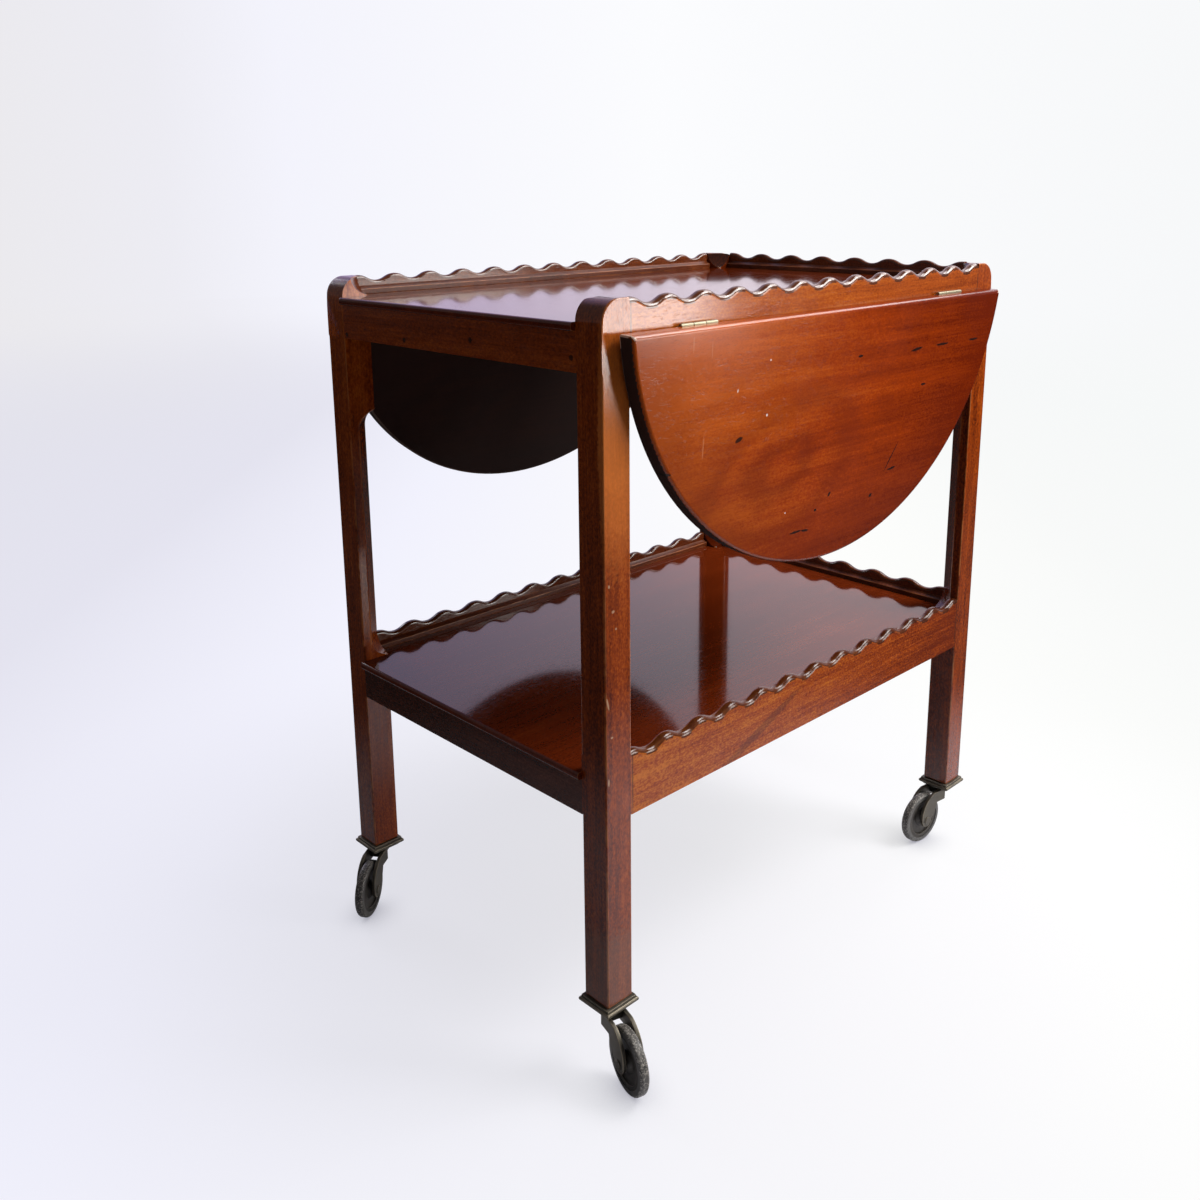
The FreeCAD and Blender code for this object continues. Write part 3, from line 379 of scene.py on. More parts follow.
@dataclass(frozen=True)
class Mahogany:
    """French-polished mahogany: straight grain, open pores, rubbed arrises and the marks of use, with painted
    shade on tops and a painted light slope.
    """

    name: str
    grain: Grain
    deep: Colour = (0.085, 0.010, 0.0015)
    middle: Colour = (0.215, 0.028, 0.0035)
    pale: Colour = (0.370, 0.062, 0.008)
    worn: Colour = (0.50, 0.17, 0.05)
    wear: float = 0.55
    rub: Pair = (0.34, 0.62)
    # Painted shade: near-black on up-facing tops of the galleries' waves and of the legs, and in the legs'
    # scoops.
    painted_shade: Colour = (0.014, 0.006, 0.004)
    painted_shade_share: float = 0.9
    tones: Triple = (0.18, 0.50, 0.82)
    pore_share: float = 0.40
    gloss: float = 0.14
    unpolished: float = 0.8
    specular: float = 0.5
    contrast: float = 1.0
    fine: float = 1.0
    relief: float = 0.16
    relief_depth: float = 0.0003
    pore_relief: float = -0.6
    tone_relief: float = 0.35
    wander_repeats: Pair = (1.1, 4.0)
    wander: Triple = (0.02, 0.02, 0.02)
    pore_repeats: Pair = (120.0, 1500.0)
    pore_edge: Pair = (0.60, 0.72)
    ragged_repeats: float = 260.0
    rub_repeats: float = 30.0
    smear_repeats: float = 9.0
    smear_edge: Pair = (0.25, 0.8)
    smear_shares: Pair = (0.85, 1.2)
    # Painted light: lightness added per metre along X, Y and Z, for light that falls off across the board.
    painted_light_slope: Triple = (0.0, 0.0, 0.0)
    start: float = 0.0
    seed: float = 0.0
    blemishes: tuple[Blemish, ...] = ()

    def tone(self, graph: Graph, shift: Triple) -> tuple[Socket, Socket]:
        """Lightness of the grain, plus a painted light slope that makes the board lighter towards one side.

        Args:
            graph: the material.
            shift: where in the pattern the board was cut.

        Returns:
            The lightness, about 0 to 1, and the pores, 0 to 1.
        """
        drawn = graph.mapped(self.grain.stretch(*self.wander_repeats), shift)
        wander = graph.noise(drawn, detail=1, output="Color")
        flow = graph.vector("MULTIPLY_ADD", wander, self.wander, graph.place)
        painted_slope = graph.vector("DOT_PRODUCT", graph.place, self.painted_light_slope, output="Value")
        total = graph.math("ADD", painted_slope, self.start + 0.5)
        for number, (repeats, detail, weight) in enumerate(GRAIN_LAYERS):
            drawn = graph.mapped(self.grain.stretch(*repeats), shift, flow)
            layer = graph.noise(drawn, detail=detail, roughness=0.6)
            weight = weight * self.contrast * (self.fine if number >= BROAD_LAYERS else 1.0)
            total = graph.math("ADD", total, graph.math("MULTIPLY_ADD", layer, weight, -weight / 2))
        pores = graph.noise(graph.mapped(self.grain.stretch(*self.pore_repeats), shift, flow), detail=1)
        return total, graph.between(pores, *self.pore_edge)

    def tint(self, graph: Graph, colour: Socket) -> Socket:
        """Colour of the board by place, here the grain's own."""
        return colour

    def material(self) -> Finish:
        """Build the finish.

        Returns:
            The material.
        """
        graph = Graph(self.name)
        shift = (self.seed, self.seed * 1.7, self.seed * 0.6)
        tone, pore = self.tone(graph, shift)
        colour = graph.ramp(tone, tuple(zip(self.tones, (self.deep, self.middle, self.pale))))
        colour = graph.mix(graph.math("MULTIPLY", pore, self.pore_share), colour, self.deep)
        colour = self.tint(graph, colour)
        painted_shade = graph.math("MULTIPLY", graph.attribute("painted_shade"), self.painted_shade_share)
        colour = graph.mix(painted_shade, colour, self.painted_shade)
        ragged = graph.noise(graph.even(self.ragged_repeats, shift), detail=3, roughness=0.6)
        for blemish in self.blemishes:
            spots = graph.math("MULTIPLY", graph.spots(blemish.marks, ragged), blemish.strength)
            colour = graph.mix(spots, colour, blemish.colour)
        rubbed = graph.noise(graph.even(self.rub_repeats, shift), detail=4, roughness=0.7)
        edge = graph.math("MULTIPLY", graph.attribute("arris"), graph.between(rubbed, *self.rub))
        colour = graph.mix(graph.math("MULTIPLY", edge, self.wear), colour, self.worn)
        smear = graph.noise(graph.even(self.smear_repeats, shift), detail=4, roughness=0.65)
        rough = graph.between(smear, *self.smear_edge, *(self.gloss * share for share in self.smear_shares))
        bare_and_shade = graph.math("MULTIPLY", graph.attribute("inner"), self.unpolished)
        rough = graph.math("MAXIMUM", rough, bare_and_shade)
        relief = graph.math("MULTIPLY", tone, self.tone_relief)
        relief = graph.math("MULTIPLY_ADD", pore, self.pore_relief, relief)
        graph.fill(graph.shader, Base_Color=colour, Roughness=rough, Specular_IOR_Level=self.specular,
                   Normal=graph.bump(relief, self.relief, self.relief_depth))
        return graph.material


@dataclass(frozen=True)
class LeafMahogany(Mahogany):
    """Mahogany of a leaf: an oval figure, darker towards the rim, with the inner face left without polish,
    and the inner face and edges painted near-black for shade.
    """

    centre: Triple = (0.0, 0.0, 0.742)
    half: Triple = (0.3047, 1000.0, 0.2886)
    rim: Pair = (0.72, 1.02)
    rim_share: float = 0.40
    # Near-black painted shade on the edges; on the inner face, dark bare wood with painted shade.
    bare_and_shade: Colour = (0.014, 0.010, 0.009)
    bare_and_shade_share: float = 0.94
    heart: Triple = (-0.095, 0.0, 0.560)
    heart_half: Triple = (0.085, 1000.0, 0.046)
    heart_lean: float = -14.0
    heart_repeats: Triple = (9.0, 9.0, 22.0)
    heart_wander: float = 1.6
    heart_reach: Pair = (1.2, 3.6)
    rings: float = 6.5
    figure: Pair = (0.42, 0.08)

    def tint(self, graph: Graph, colour: Socket) -> Socket:
        """Darken the board towards its rim and round its heart, take the polish off its inner face, and paint
        the inner face and edges near-black with painted shade.

        Args:
            graph: the material.
            colour: the grain's colour.

        Returns:
            The changed colour.
        """
        reach = graph.reach(self.centre, self.half)
        colour = graph.mix(graph.between(reach, *self.rim, 0.0, self.rim_share), colour, self.deep)
        colour = graph.mix(self.swirl(graph), colour, self.deep)
        return graph.mix(graph.math("MULTIPLY", graph.attribute("inner"), self.bare_and_shade_share), colour, self.bare_and_shade)

    def swirl(self, graph: Graph) -> Socket:
        """Oval figure round the heart of the board.

        Args:
            graph: the material.

        Returns:
            How much darker the board is, 0 to 1.
        """
        reach = graph.reach(self.heart, self.heart_half, (0.0, math.radians(self.heart_lean), 0.0))
        wander = graph.noise(graph.mapped(self.heart_repeats), detail=4, roughness=0.6)
        reach = graph.math("MULTIPLY_ADD", wander, self.heart_wander, reach)
        waves = graph.math("SINE", graph.math("MULTIPLY", reach, self.rings))
        bands = graph.math("MULTIPLY_ADD", waves, 0.5, 0.5)
        strength = graph.between(reach, *self.heart_reach, *self.figure)
        return graph.math("MULTIPLY", bands, strength)


@dataclass(frozen=True)
class OldBrass:
    """Brass that has gone dull, brighter where it is rubbed."""

    name: str
    dull: Colour = (0.072, 0.064, 0.052)
    green: Colour = (0.120, 0.110, 0.084)
    bright: Colour = (0.24, 0.205, 0.15)
    roughness: float = 0.46
    metallic: float = 0.55
    patch_repeats: float = 55.0
    patch_tones: Pair = (0.35, 0.62)
    rub_edge: Pair = (0.3, 0.6)
    rub_shares: Pair = (0.35, 0.9)
    dull_edge: Pair = (0.3, 0.75)
    dull_shares: Pair = (0.8, 1.35)
    grit_repeats: float = 700.0
    grit_relief: Pair = (0.12, 0.0002)

    def material(self) -> Finish:
        """Build the finish.

        Returns:
            The material.
        """
        graph = Graph(self.name)
        patches = graph.noise(graph.even(self.patch_repeats), detail=5, roughness=0.65)
        grit = graph.noise(graph.even(self.grit_repeats), detail=2)
        colour = graph.ramp(patches, tuple(zip(self.patch_tones, (self.dull, self.green))))
        rubbed = graph.between(patches, *self.rub_edge, *self.rub_shares)
        rubbed = graph.math("MULTIPLY", graph.attribute("arris"), rubbed)
        colour = graph.mix(rubbed, colour, self.bright)
        limits = (self.roughness * share for share in self.dull_shares)
        rough = graph.between(patches, *self.dull_edge, *limits)
        graph.fill(graph.shader, Base_Color=colour, Metallic=self.metallic, Roughness=rough,
                   Normal=graph.bump(grit, *self.grit_relief))
        return graph.material


@dataclass(frozen=True)
class OldRubber:
    """Hard black rubber with a pale, scuffed tread."""

    name: str
    black: Colour = (0.046, 0.045, 0.044)
    grey: Colour = (0.150, 0.145, 0.136)
    scuff: Colour = (0.52, 0.49, 0.44)
    scuff_share: float = 0.7
    cloud_repeats: float = 120.0
    cloud_tones: Pair = (0.35, 0.70)
    cloud_edge: Pair = (0.3, 0.7)
    cloud_roughness: Pair = (0.30, 0.6)
    speck_repeats: float = 620.0
    speck_edge: Pair = (0.50, 0.64)
    speck_relief: Pair = (0.3, 0.0004)

    def material(self) -> Finish:
        """Build the finish.

        Returns:
            The material.
        """
        graph = Graph(self.name)
        cloud = graph.noise(graph.even(self.cloud_repeats), detail=5, roughness=0.7)
        specks = graph.noise(graph.even(self.speck_repeats), detail=3, roughness=0.6)
        colour = graph.ramp(cloud, tuple(zip(self.cloud_tones, (self.black, self.grey))))
        tread = graph.math("MULTIPLY", graph.attribute("tread"), graph.between(specks, *self.speck_edge))
        colour = graph.mix(graph.math("MULTIPLY", tread, self.scuff_share), colour, self.scuff)
        graph.fill(graph.shader, Base_Color=colour, Normal=graph.bump(specks, *self.speck_relief),
                   Roughness=graph.between(cloud, *self.cloud_edge, *self.cloud_roughness))
        return graph.material


class Bench:
    """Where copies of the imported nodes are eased, dressed and put in the nodes' place."""

    merge: float = 2e-6
    flat_angle: float = math.radians(1.0)
    sharp_angle: float = math.radians(32)
    crease_angle: float = math.radians(42)
    flat_weight: int = 90
    flat_share: float = 0.0002

    def __init__(self, frame: dict[str, Any]) -> None:
        """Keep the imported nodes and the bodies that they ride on.
        """
        self.nodes: dict[str, bpy.types.Object] = frame["nodes"]
        behaviour = frame["record"]["behaviour"]
        self.body_of = {node: body for body, members in behaviour["bodies"].items() for node in members}
        self.pivots = {joint["child"]: Vector(joint["pos_m"]) for joint in behaviour["joints"]}

    def copy(self, node: str) -> bmesh.types.BMesh:
        """Copy of a node's mesh, welded, with its flat faces whole.

        Args:
            node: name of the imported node.

        Returns:
            The mesh to work on.
        """
        work = bmesh.new()
        work.from_mesh(self.nodes[node].data)
        bmesh.ops.remove_doubles(work, verts=work.verts, dist=self.merge)
        bmesh.ops.dissolve_limit(work, angle_limit=self.flat_angle, verts=work.verts, edges=work.edges,
                                 use_dissolve_boundaries=False, delimit={"NORMAL"})
        return work

    def sharp_edges(self, work: bmesh.types.BMesh, test: EdgeTest | None) -> list[Edge]:
        """Edges that stand out of a mesh.

        Args:
            work: the mesh.
            test: which of them to take, from the edge and its middle, or none to take all.

        Returns:
            The convex sharp edges that pass.
        """
        found = []
        for edge in work.edges:
            if not edge.is_manifold or edge.calc_face_angle_signed(0.0) < self.sharp_angle:
                continue
            middle = (edge.verts[0].co + edge.verts[1].co) / 2
            if test is None or test(edge, middle):
                found.append(edge)
        return found

    def ease(self, work: bmesh.types.BMesh, radius: float, segments: int = 2,
             test: EdgeTest | None = None) -> None:
        """Round sharp edges over, and mark the rounding so that a finish can wear it.

        Args:
            work: the mesh.
            radius: width of the rounding in metres.
            segments: facets across it.
            test: which sharp edges to round.
        """
        edges = self.sharp_edges(work, test)
        arris = work.faces.layers.float.get("arris") or work.faces.layers.float.new("arris")
        if not edges:
            return
        made = bmesh.ops.bevel(work, geom=edges, offset=radius, offset_type="OFFSET", segments=segments,
                               profile=0.5, affect="EDGES", clamp_overlap=False, material=-1, loop_slide=True)
        for face in made["faces"]:
            face[arris] = 1.0

    def seat(self, work: bmesh.types.BMesh, name: str, body: str, finish: Finish,
             slot: str, nodes: Sequence[str] = ()) -> None:
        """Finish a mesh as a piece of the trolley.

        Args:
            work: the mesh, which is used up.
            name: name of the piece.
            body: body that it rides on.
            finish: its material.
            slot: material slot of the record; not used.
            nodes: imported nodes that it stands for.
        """
        for edge in work.edges:
            edge.smooth = edge.is_manifold and edge.calc_face_angle(0.0) < self.crease_angle
        for face in work.faces:
            face.smooth = True
        mesh = bpy.data.meshes.new(name)
        work.to_mesh(mesh)
        work.free()
        mesh.materials.append(finish)
        piece = bpy.data.objects.new(name, mesh)
        bpy.context.scene.collection.objects.link(piece)
        weights = piece.modifiers.new("even_normals", "WEIGHTED_NORMAL")
        weights.keep_sharp = True
        weights.weight = self.flat_weight
        weights.thresh = self.flat_share
        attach(piece, body)
        if nodes:
            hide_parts(*nodes)
        LOG.info("%s rides on %s", name, body)

    def eased(self, node: str, finish: Finish, slot: str, radius: float, segments: int = 2) -> None:
        """Put an eased copy of a node in its place.

        Args:
            node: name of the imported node.
            finish: its material.
            slot: material slot of the record.
            radius: width of the rounding in metres.
            segments: facets across the rounding.
        """
        work = self.copy(node)
        self.ease(work, radius, segments)
        self.seat(work, f"{node}_finished", self.body_of[node], finish, slot, (node,))


@dataclass(frozen=True)
class ScrewHead:
    """Slotted head of a countersunk screw."""

    radius: float = 0.0021
    proud: float = 0.00018
    slot: float = 0.0005
    steps: int = 12
    bed_level: float = 0.3
    bed_share: float = 0.97

    def add(self, work: bmesh.types.BMesh, place: Matrix) -> None:
        """Add a head to a mesh.

        Args:
            work: the mesh.
            place: middle of the head, with the way out of the surface as its Z axis.
        """
        base = place @ Matrix.Translation((0.0, 0.0, self.proud * self.bed_level))
        bmesh.ops.create_circle(work, cap_ends=True, segments=self.steps * 2,
                                radius=self.radius * self.bed_share, matrix=base)
        start = math.asin(self.slot / 2 / self.radius)
        sweep = math.pi - start * 2
        for flip in (0.0, math.pi):
            angles = [flip + start + sweep * step / self.steps for step in range(self.steps + 1)]
            rim = [place @ Vector((self.radius * math.cos(a), self.radius * math.sin(a), 0.0))
                   for a in angles]
            face = work.faces.new([work.verts.new(point) for point in rim])
            raised = bmesh.ops.extrude_face_region(work, geom=[face])["geom"]
            rise = place.to_3x3() @ Vector((0.0, 0.0, self.proud))
            lifted = [item for item in raised if isinstance(item, bmesh.types.BMVert)]
            bmesh.ops.translate(work, vec=rise, verts=lifted)
        bmesh.ops.recalc_face_normals(work, faces=work.faces)


@dataclass
class Frame:
    """Legs, rails, beads and cleats. Lengths are in metres."""

    bench: Bench
    leg_arris: float = 0.0016
    arris: float = 0.0011
    wave_outer_arris: float = 0.0052
    wave_inner_arris: float = 0.0034
    mortises: tuple[Pair, ...] = ((0.6800, 0.7050), (0.2715, 0.2965))
    rail_levels: tuple[Pair, ...] = ((0.675, 0.760), (0.2665, 0.3275))
    bore: float = 0.010
    leg_inside: float = 0.014
    tenon: float = 0.0121
    wave_depth: float = 0.0075
    crest_depth: float = 0.0085
    # Shares of the painted shade on leg tops, scoops and the waves' outer and inner sides.
    leg_top_shade: float = 0.75
    scoop_shade: float = 0.8
    wave_top_shade: float = 0.9
    wave_inner_shade: float = 0.45
    wave_rub: float = 0.25
    top_slope: float = 0.05
    scoop_slope: float = -0.01
    wave_slope: float = 0.15
    outer_offset: float = 0.003
    lower_edge: float = 0.001
    short_edge: float = 1e-4
    cut_width: float = 1e-6

    def build(self) -> None:
        """Build every piece of the frame."""
        self.legs()
        self.rails()
        self.strips()

    def legs(self) -> None:
        """Ease the legs, but not the joints inside them."""
        chips = Blemish((0.50, 0.32, 0.19), 0.7, tuple(
            Mark.front(x, RAIL_FACE, *rest, depth=0.002) for x, *rest in (
                (-0.2862, 0.4341, 0.0009, 0.0050, 4), (-0.3150, 0.3848, 0.0009, 0.0052, -12),
                (-0.3103, 0.3514, 0.0013, 0.0009), (-0.3145, 0.3092, 0.0009, 0.0030),
                (-0.3124, 0.4928, 0.0009, 0.0013), (-0.3078, 0.4689, 0.0015, 0.0011, -20),
                (-0.3043, 0.4524, 0.0009, 0.0009),
            )))
        # Greyish brown at the foot of the front left leg, on its front and left faces: partly dust, partly a
        # painted reflection of the floor.
        dust_and_sheen = Blemish((0.15, 0.078, 0.052), 0.4, (
            Mark.front(-0.302, RAIL_FACE, 0.095, 0.034, 0.050),
            Mark.end(-0.3195, -0.195, 0.095, 0.034, 0.050),
        ))
        # Painted light: paler patches high on the front face of the front left leg, where light falls.
        painted_light_patch = tuple(
            Blemish((0.74, 0.215, 0.040), 0.25,
                    (Mark.front(-0.302, RAIL_FACE, 0.620, 0.030, reach, depth=0.006),))
            for reach in (0.040, 0.070, 0.100))
        # Painted light slope on the legs: they are painted lighter to the left, to the front and towards the
        # top.
        finish = Mahogany("leg_mahogany", Grain.UPRIGHT, deep=(0.085, 0.011, 0.0018),
                          middle=(0.26, 0.041, 0.003), pale=(0.45, 0.100, 0.010),
                          painted_light_slope=(-0.35, -0.25, 0.35), start=-0.26, blemishes=(*painted_light_patch, dust_and_sheen, chips)).material()
        for node in self.bench.nodes:
            if not node.startswith("leg_"):
                continue
            low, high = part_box(node)
            centre = (low + high) / 2
            work = self.bench.copy(node)
            for level in sum(self.rail_levels, ()):
                whole = [*work.verts, *work.edges, *work.faces]
                bmesh.ops.bisect_plane(work, geom=whole, dist=self.cut_width, plane_co=(0.0, 0.0, level),
                                       plane_no=(0.0, 0.0, 1.0))

            def outside(edge: Edge, at: Vector) -> bool:
                """Whether an edge is outside the mortises and the bore, and no rail meets the leg there.

                Args:
                    edge: the edge.
                    at: its middle.

                Returns:
                    True where the edge is rounded.
                """
                if any(bottom < at.z < top for bottom, top in self.mortises):
                    return False
                inner_x = abs(at.x) < abs(centre.x) - self.leg_inside
                inner_y = abs(at.y) < abs(centre.y) - self.leg_inside
                if inner_x != inner_y and any(bottom < at.z < top for bottom, top in self.rail_levels):
                    return False
                return math.hypot(at.x - centre.x, at.y - centre.y) > self.bore

            self.bench.ease(work, self.leg_arris, segments=3, test=outside)
            # Painted shade on the leg tops, darker the more a face looks up, and in the scoops.
            painted_shade = work.faces.layers.float.new("painted_shade")
            for face in work.faces:
                if face.calc_center_median().z > self.rail_levels[0][0] and face.normal.z > self.top_slope:
                    scooped = face.normal.x * centre.x < self.scoop_slope
                    face[painted_shade] = self.scoop_shade if scooped else self.leg_top_shade * face.normal.z
            self.bench.seat(work, f"{node}_finished", self.bench.body_of[node], finish, "mahogany", (node,))

    def rails(self) -> None:
        """Ease the rails and round their wavy edges."""
        plugs = Blemish((0.007, 0.004, 0.003), 0.8, tuple(
            Mark.end(-0.318, y, z, 0.0022, 0.0022)
            for y, z in ((0.1757, 0.6788), (0.0704, 0.6821), (-0.0367, 0.6909), (-0.1749, 0.6872))))
        figure = Blemish((0.05, 0.007, 0.002), 0.45,
                         (Mark.front(-0.098, RAIL_FACE, 0.287, 0.060, 0.0042, -21),))
        seams = Blemish((0.05, 0.018, 0.008), 0.75, tuple(
            Mark.front(end, RAIL_FACE, level, 0.0007, 0.030)
            for end in (-0.2845, 0.2845) for level in (0.705, 0.297)))
        worn: Colour = (0.30, 0.085, 0.025)
        # Painted light slope on the front rails: both are painted lighter to the left, the lower one more.
        finishes = {
            "upper_rail_front": Mahogany(
                "upper_rail_mahogany", Grain.ALONG, deep=(0.19, 0.030, 0.002), middle=(0.37, 0.072, 0.005),
                pale=(0.52, 0.140, 0.011), worn=worn, painted_light_slope=(-0.5, 0.0, 0.0), seed=3.1,
                blemishes=(seams,)).material(),
            "lower_rail_front": Mahogany(
                "lower_rail_mahogany", Grain.ALONG, deep=(0.12, 0.014, 0.001), middle=(0.29, 0.047, 0.003),
                pale=(0.50, 0.135, 0.010), worn=worn, fine=1.3, specular=0.3, painted_light_slope=(-1.0, 0.0, 0.0),
                seed=3.6, blemishes=(figure, seams)).material(),
            # Painted shade: the lower left end rail is painted darker and greyer than the upper end rail.
            "lower_rail_left": Mahogany(
                "shaded_low_end_mahogany", Grain.ACROSS, deep=(0.035, 0.008, 0.003), middle=(0.085, 0.020, 0.010),
                pale=(0.15, 0.042, 0.020), worn=worn, seed=6.2).material(),
        }
        # Painted shade: the back and right rails take a darker copy of the rail mahogany.
        sides = Mahogany("shaded_side_rail_mahogany", Grain.ALONG, deep=(0.045, 0.008, 0.002),
                         middle=(0.115, 0.024, 0.006), pale=(0.21, 0.055, 0.015), worn=worn,
                         seed=4.1).material()
        ends = Mahogany("end_rail_mahogany", Grain.ACROSS, deep=(0.11, 0.015, 0.002),
                        middle=(0.27, 0.042, 0.004), pale=(0.44, 0.090, 0.010), worn=worn, seed=5.3,
                        blemishes=(plugs,)).material()
        for node in self.bench.nodes:
            if "_rail_" not in node or node.startswith("hinge"):
                continue
            low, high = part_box(node)
            size = high - low
            along = 0 if size.x > size.y else 1
            across = 1 - along
            end = high[along] - self.tenon
            finish = finishes.get(node) or (ends if node.endswith("_left") else sides)
            work = self.bench.copy(node)

            def runs_along(edge: Edge, at: Vector) -> bool:
                """Whether an edge runs with the rail, clear of its tenons and hinge seats."""
                first, last = (vert.co for vert in edge.verts)
                inside = min(abs(first[along]), abs(last[along])) < end
                return inside and abs((last - first)[along]) > self.short_edge

            def wavy(edge: Edge, at: Vector) -> bool:
                """Whether an edge belongs to the gallery's wave."""
                return runs_along(edge, at) and at.z > high.z - self.wave_depth

            def outer(edge: Edge, at: Vector) -> bool:
                """Whether an edge of the wave is on the rail's outer face."""
                middle = abs(low[across] + high[across]) / 2
                return wavy(edge, at) and abs(at[across]) > middle + self.outer_offset

            def straight(edge: Edge, at: Vector) -> bool:
                """Whether an edge is a long lower edge of the rail."""
                return runs_along(edge, at) and at.z < low.z + self.lower_edge

            self.bench.ease(work, self.wave_outer_arris, segments=5, test=outer)
            self.bench.ease(work, self.wave_inner_arris, segments=4, test=wavy)
            arris = work.faces.layers.float["arris"]
            # Painted shade on the up-facing faces of the wave, less on its inner side.
            painted_shade = work.faces.layers.float.new("painted_shade")
            for face in work.faces:
                on_wave = face[arris] > 0.5 or face.calc_center_median().z > high.z - self.crest_depth
                if on_wave and face.normal.z > self.wave_slope:
                    inside = face.normal[across] * (low[across] + high[across]) < 0.0
                    face[painted_shade] = self.wave_inner_shade if inside else self.wave_top_shade
                    face[arris] = self.wave_rub
            self.bench.ease(work, self.arris, test=straight)
            self.bench.seat(work, f"{node}_finished", self.bench.body_of[node], finish, "mahogany", (node,))

    def strips(self) -> None:
        """Dress the beads and cleats."""
        # Painted shade: the gallery beads, in the corners between trays and galleries, take a dark copy of
        # the mahogany.
        finish = Mahogany("shaded_bead_mahogany", Grain.ALONG, deep=(0.035, 0.007, 0.002),
                          middle=(0.10, 0.020, 0.005), pale=(0.20, 0.050, 0.013), gloss=0.32, specular=0.3,
                          seed=7.7).material()
        plain = Mahogany("cleat_wood", Grain.ALONG, deep=(0.10, 0.045, 0.02), middle=(0.2, 0.095, 0.045),
                         pale=(0.3, 0.16, 0.08), wear=0.0, gloss=0.7, seed=2.2).material()
        for tier in ("upper", "lower"):
            self.bench.eased(f"{tier}_gallery_beads", finish, "mahogany", radius=0.0007)
            self.bench.eased(f"{tier}_tray_cleats", plain, "unpolished_wood", radius=0.0006, segments=1)


@dataclass
class Trays:
    """The two tray boards."""

    bench: Bench

    def build(self) -> None:
        """Build both boards."""
        finish = Mahogany("tray_mahogany", Grain.ALONG, deep=(0.055, 0.007, 0.001),
                          middle=(0.13, 0.017, 0.003), pale=(0.23, 0.038, 0.006), wear=0.5, gloss=0.07,
                          contrast=0.6, relief=0.04, seed=9.4).material()
        for tier in ("upper", "lower"):
            self.bench.eased(f"{tier}_tray", finish, "tray", radius=0.0006)


@dataclass
class DropLeaf:
    """One drop leaf with its hinges and its stay. Lengths are in metres, the lean in degrees."""

    bench: Bench
    side: str
    lean: float
    arris: float = 0.0020
    hinge_middles: tuple[float, ...] = (-0.204, 0.216)
    screw_places: tuple[Pair, ...] = ((-0.017, -0.0150), (0.0, -0.0105), (0.017, -0.0150))
    rail_face: float = 0.0035
    rubbed_depth: float = 0.012
    rim_rub: float = 0.15
    hinge_reach: float = 0.03
    hinge_depth: float = 0.035
    bracket_inset: float = 0.007
    bracket_thickness: float = 0.002

    def build(self, finish: Finish, brass: Finish, plain: Finish) -> None:
        """Build the leaf.

        Args:
            finish: polish of the leaf.
            brass: metal of the hinges.
            plain: wood of the stay.
        """
        pivot = self.bench.pivots[f"leaf_{self.side}"]

        def clear_of_hinge(edge: Edge, at: Vector) -> bool:
            """Whether an edge is away from the hinge seats."""
            near_hinge = any(abs(at.x - middle) < self.hinge_reach for middle in self.hinge_middles)
            return not (near_hinge and at.z > pivot.z - self.hinge_depth)

        node = f"leaf_{self.side}"
        work = self.bench.copy(node)
        inner = work.faces.layers.float.new("inner")
        inward = 1.0 if self.side == "front" else -1.0
        for face in work.faces:
            # The edges, but not the top, take the inner mark too, so that they are painted near-black for
            # shade.
            rim = abs(face.normal.y) < 0.5 and face.normal.z < 0.5
            face[inner] = 1.0 if rim or face.normal.y * inward > 0.5 else 0.0
        self.bench.ease(work, self.arris, segments=3, test=clear_of_hinge)
        arris = work.faces.layers.float["arris"]
        for face in work.faces:
            if face.calc_center_median().z < pivot.z - self.rubbed_depth:
                face[arris] *= self.rim_rub
        self.bench.seat(work, f"{node}_finished", node, finish, "leaf", (node,))
        self.bench.eased(f"leaf_stay_{self.side}", plain, "unpolished_wood", radius=0.0008)
        for fitting in ("hinge_rail_plates", "hinge_leaf_plates", "hinge_pins", "stay_bracket", "stay_pin"):
            self.bench.eased(f"{fitting}_{self.side}", brass, "hinge_brass", radius=0.0003, segments=1)
        self.screws(pivot, brass)

    def screws(self, pivot: Vector, brass: Finish) -> None:
        """Screw the hinges and the stay's bracket on.

        Args:
            pivot: a point of the hinge line.
            brass: metal of the screws.
        """
        turn = Matrix.Rotation(0.0 if self.side == "front" else math.pi, 4, "Z")
        swing = turn @ Matrix.Rotation(math.radians(-self.lean), 4, "X")
        outward = Matrix.Rotation(math.radians(90), 4, "X")
        inward = Matrix.Rotation(math.radians(-90), 4, "X")
        head = ScrewHead()
        on_rail = bmesh.new()
        on_leaf = bmesh.new()
        for middle in self.hinge_middles:
            for along, depth in self.screw_places:
                line = Matrix.Translation((middle + along, pivot.y, pivot.z))
                head.add(on_rail, line @ turn @ Matrix.Translation((0.0, self.rail_face, depth)) @ outward)
                head.add(on_leaf, line @ swing @ Matrix.Translation((0.0, 0.0, depth)) @ inward)
        low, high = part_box(f"stay_bracket_{self.side}")
        for end in (low.x + self.bracket_inset, high.x - self.bracket_inset):
            under = Matrix.Translation((end, (low.y + high.y) / 2, high.z - self.bracket_thickness))
            head.add(on_rail, under @ Matrix.Rotation(math.pi, 4, "X"))
        self.bench.seat(on_rail, f"rail_screws_{self.side}", "frame", brass, "hinge_brass")
        self.bench.seat(on_leaf, f"leaf_screws_{self.side}", f"leaf_{self.side}", brass, "hinge_brass")


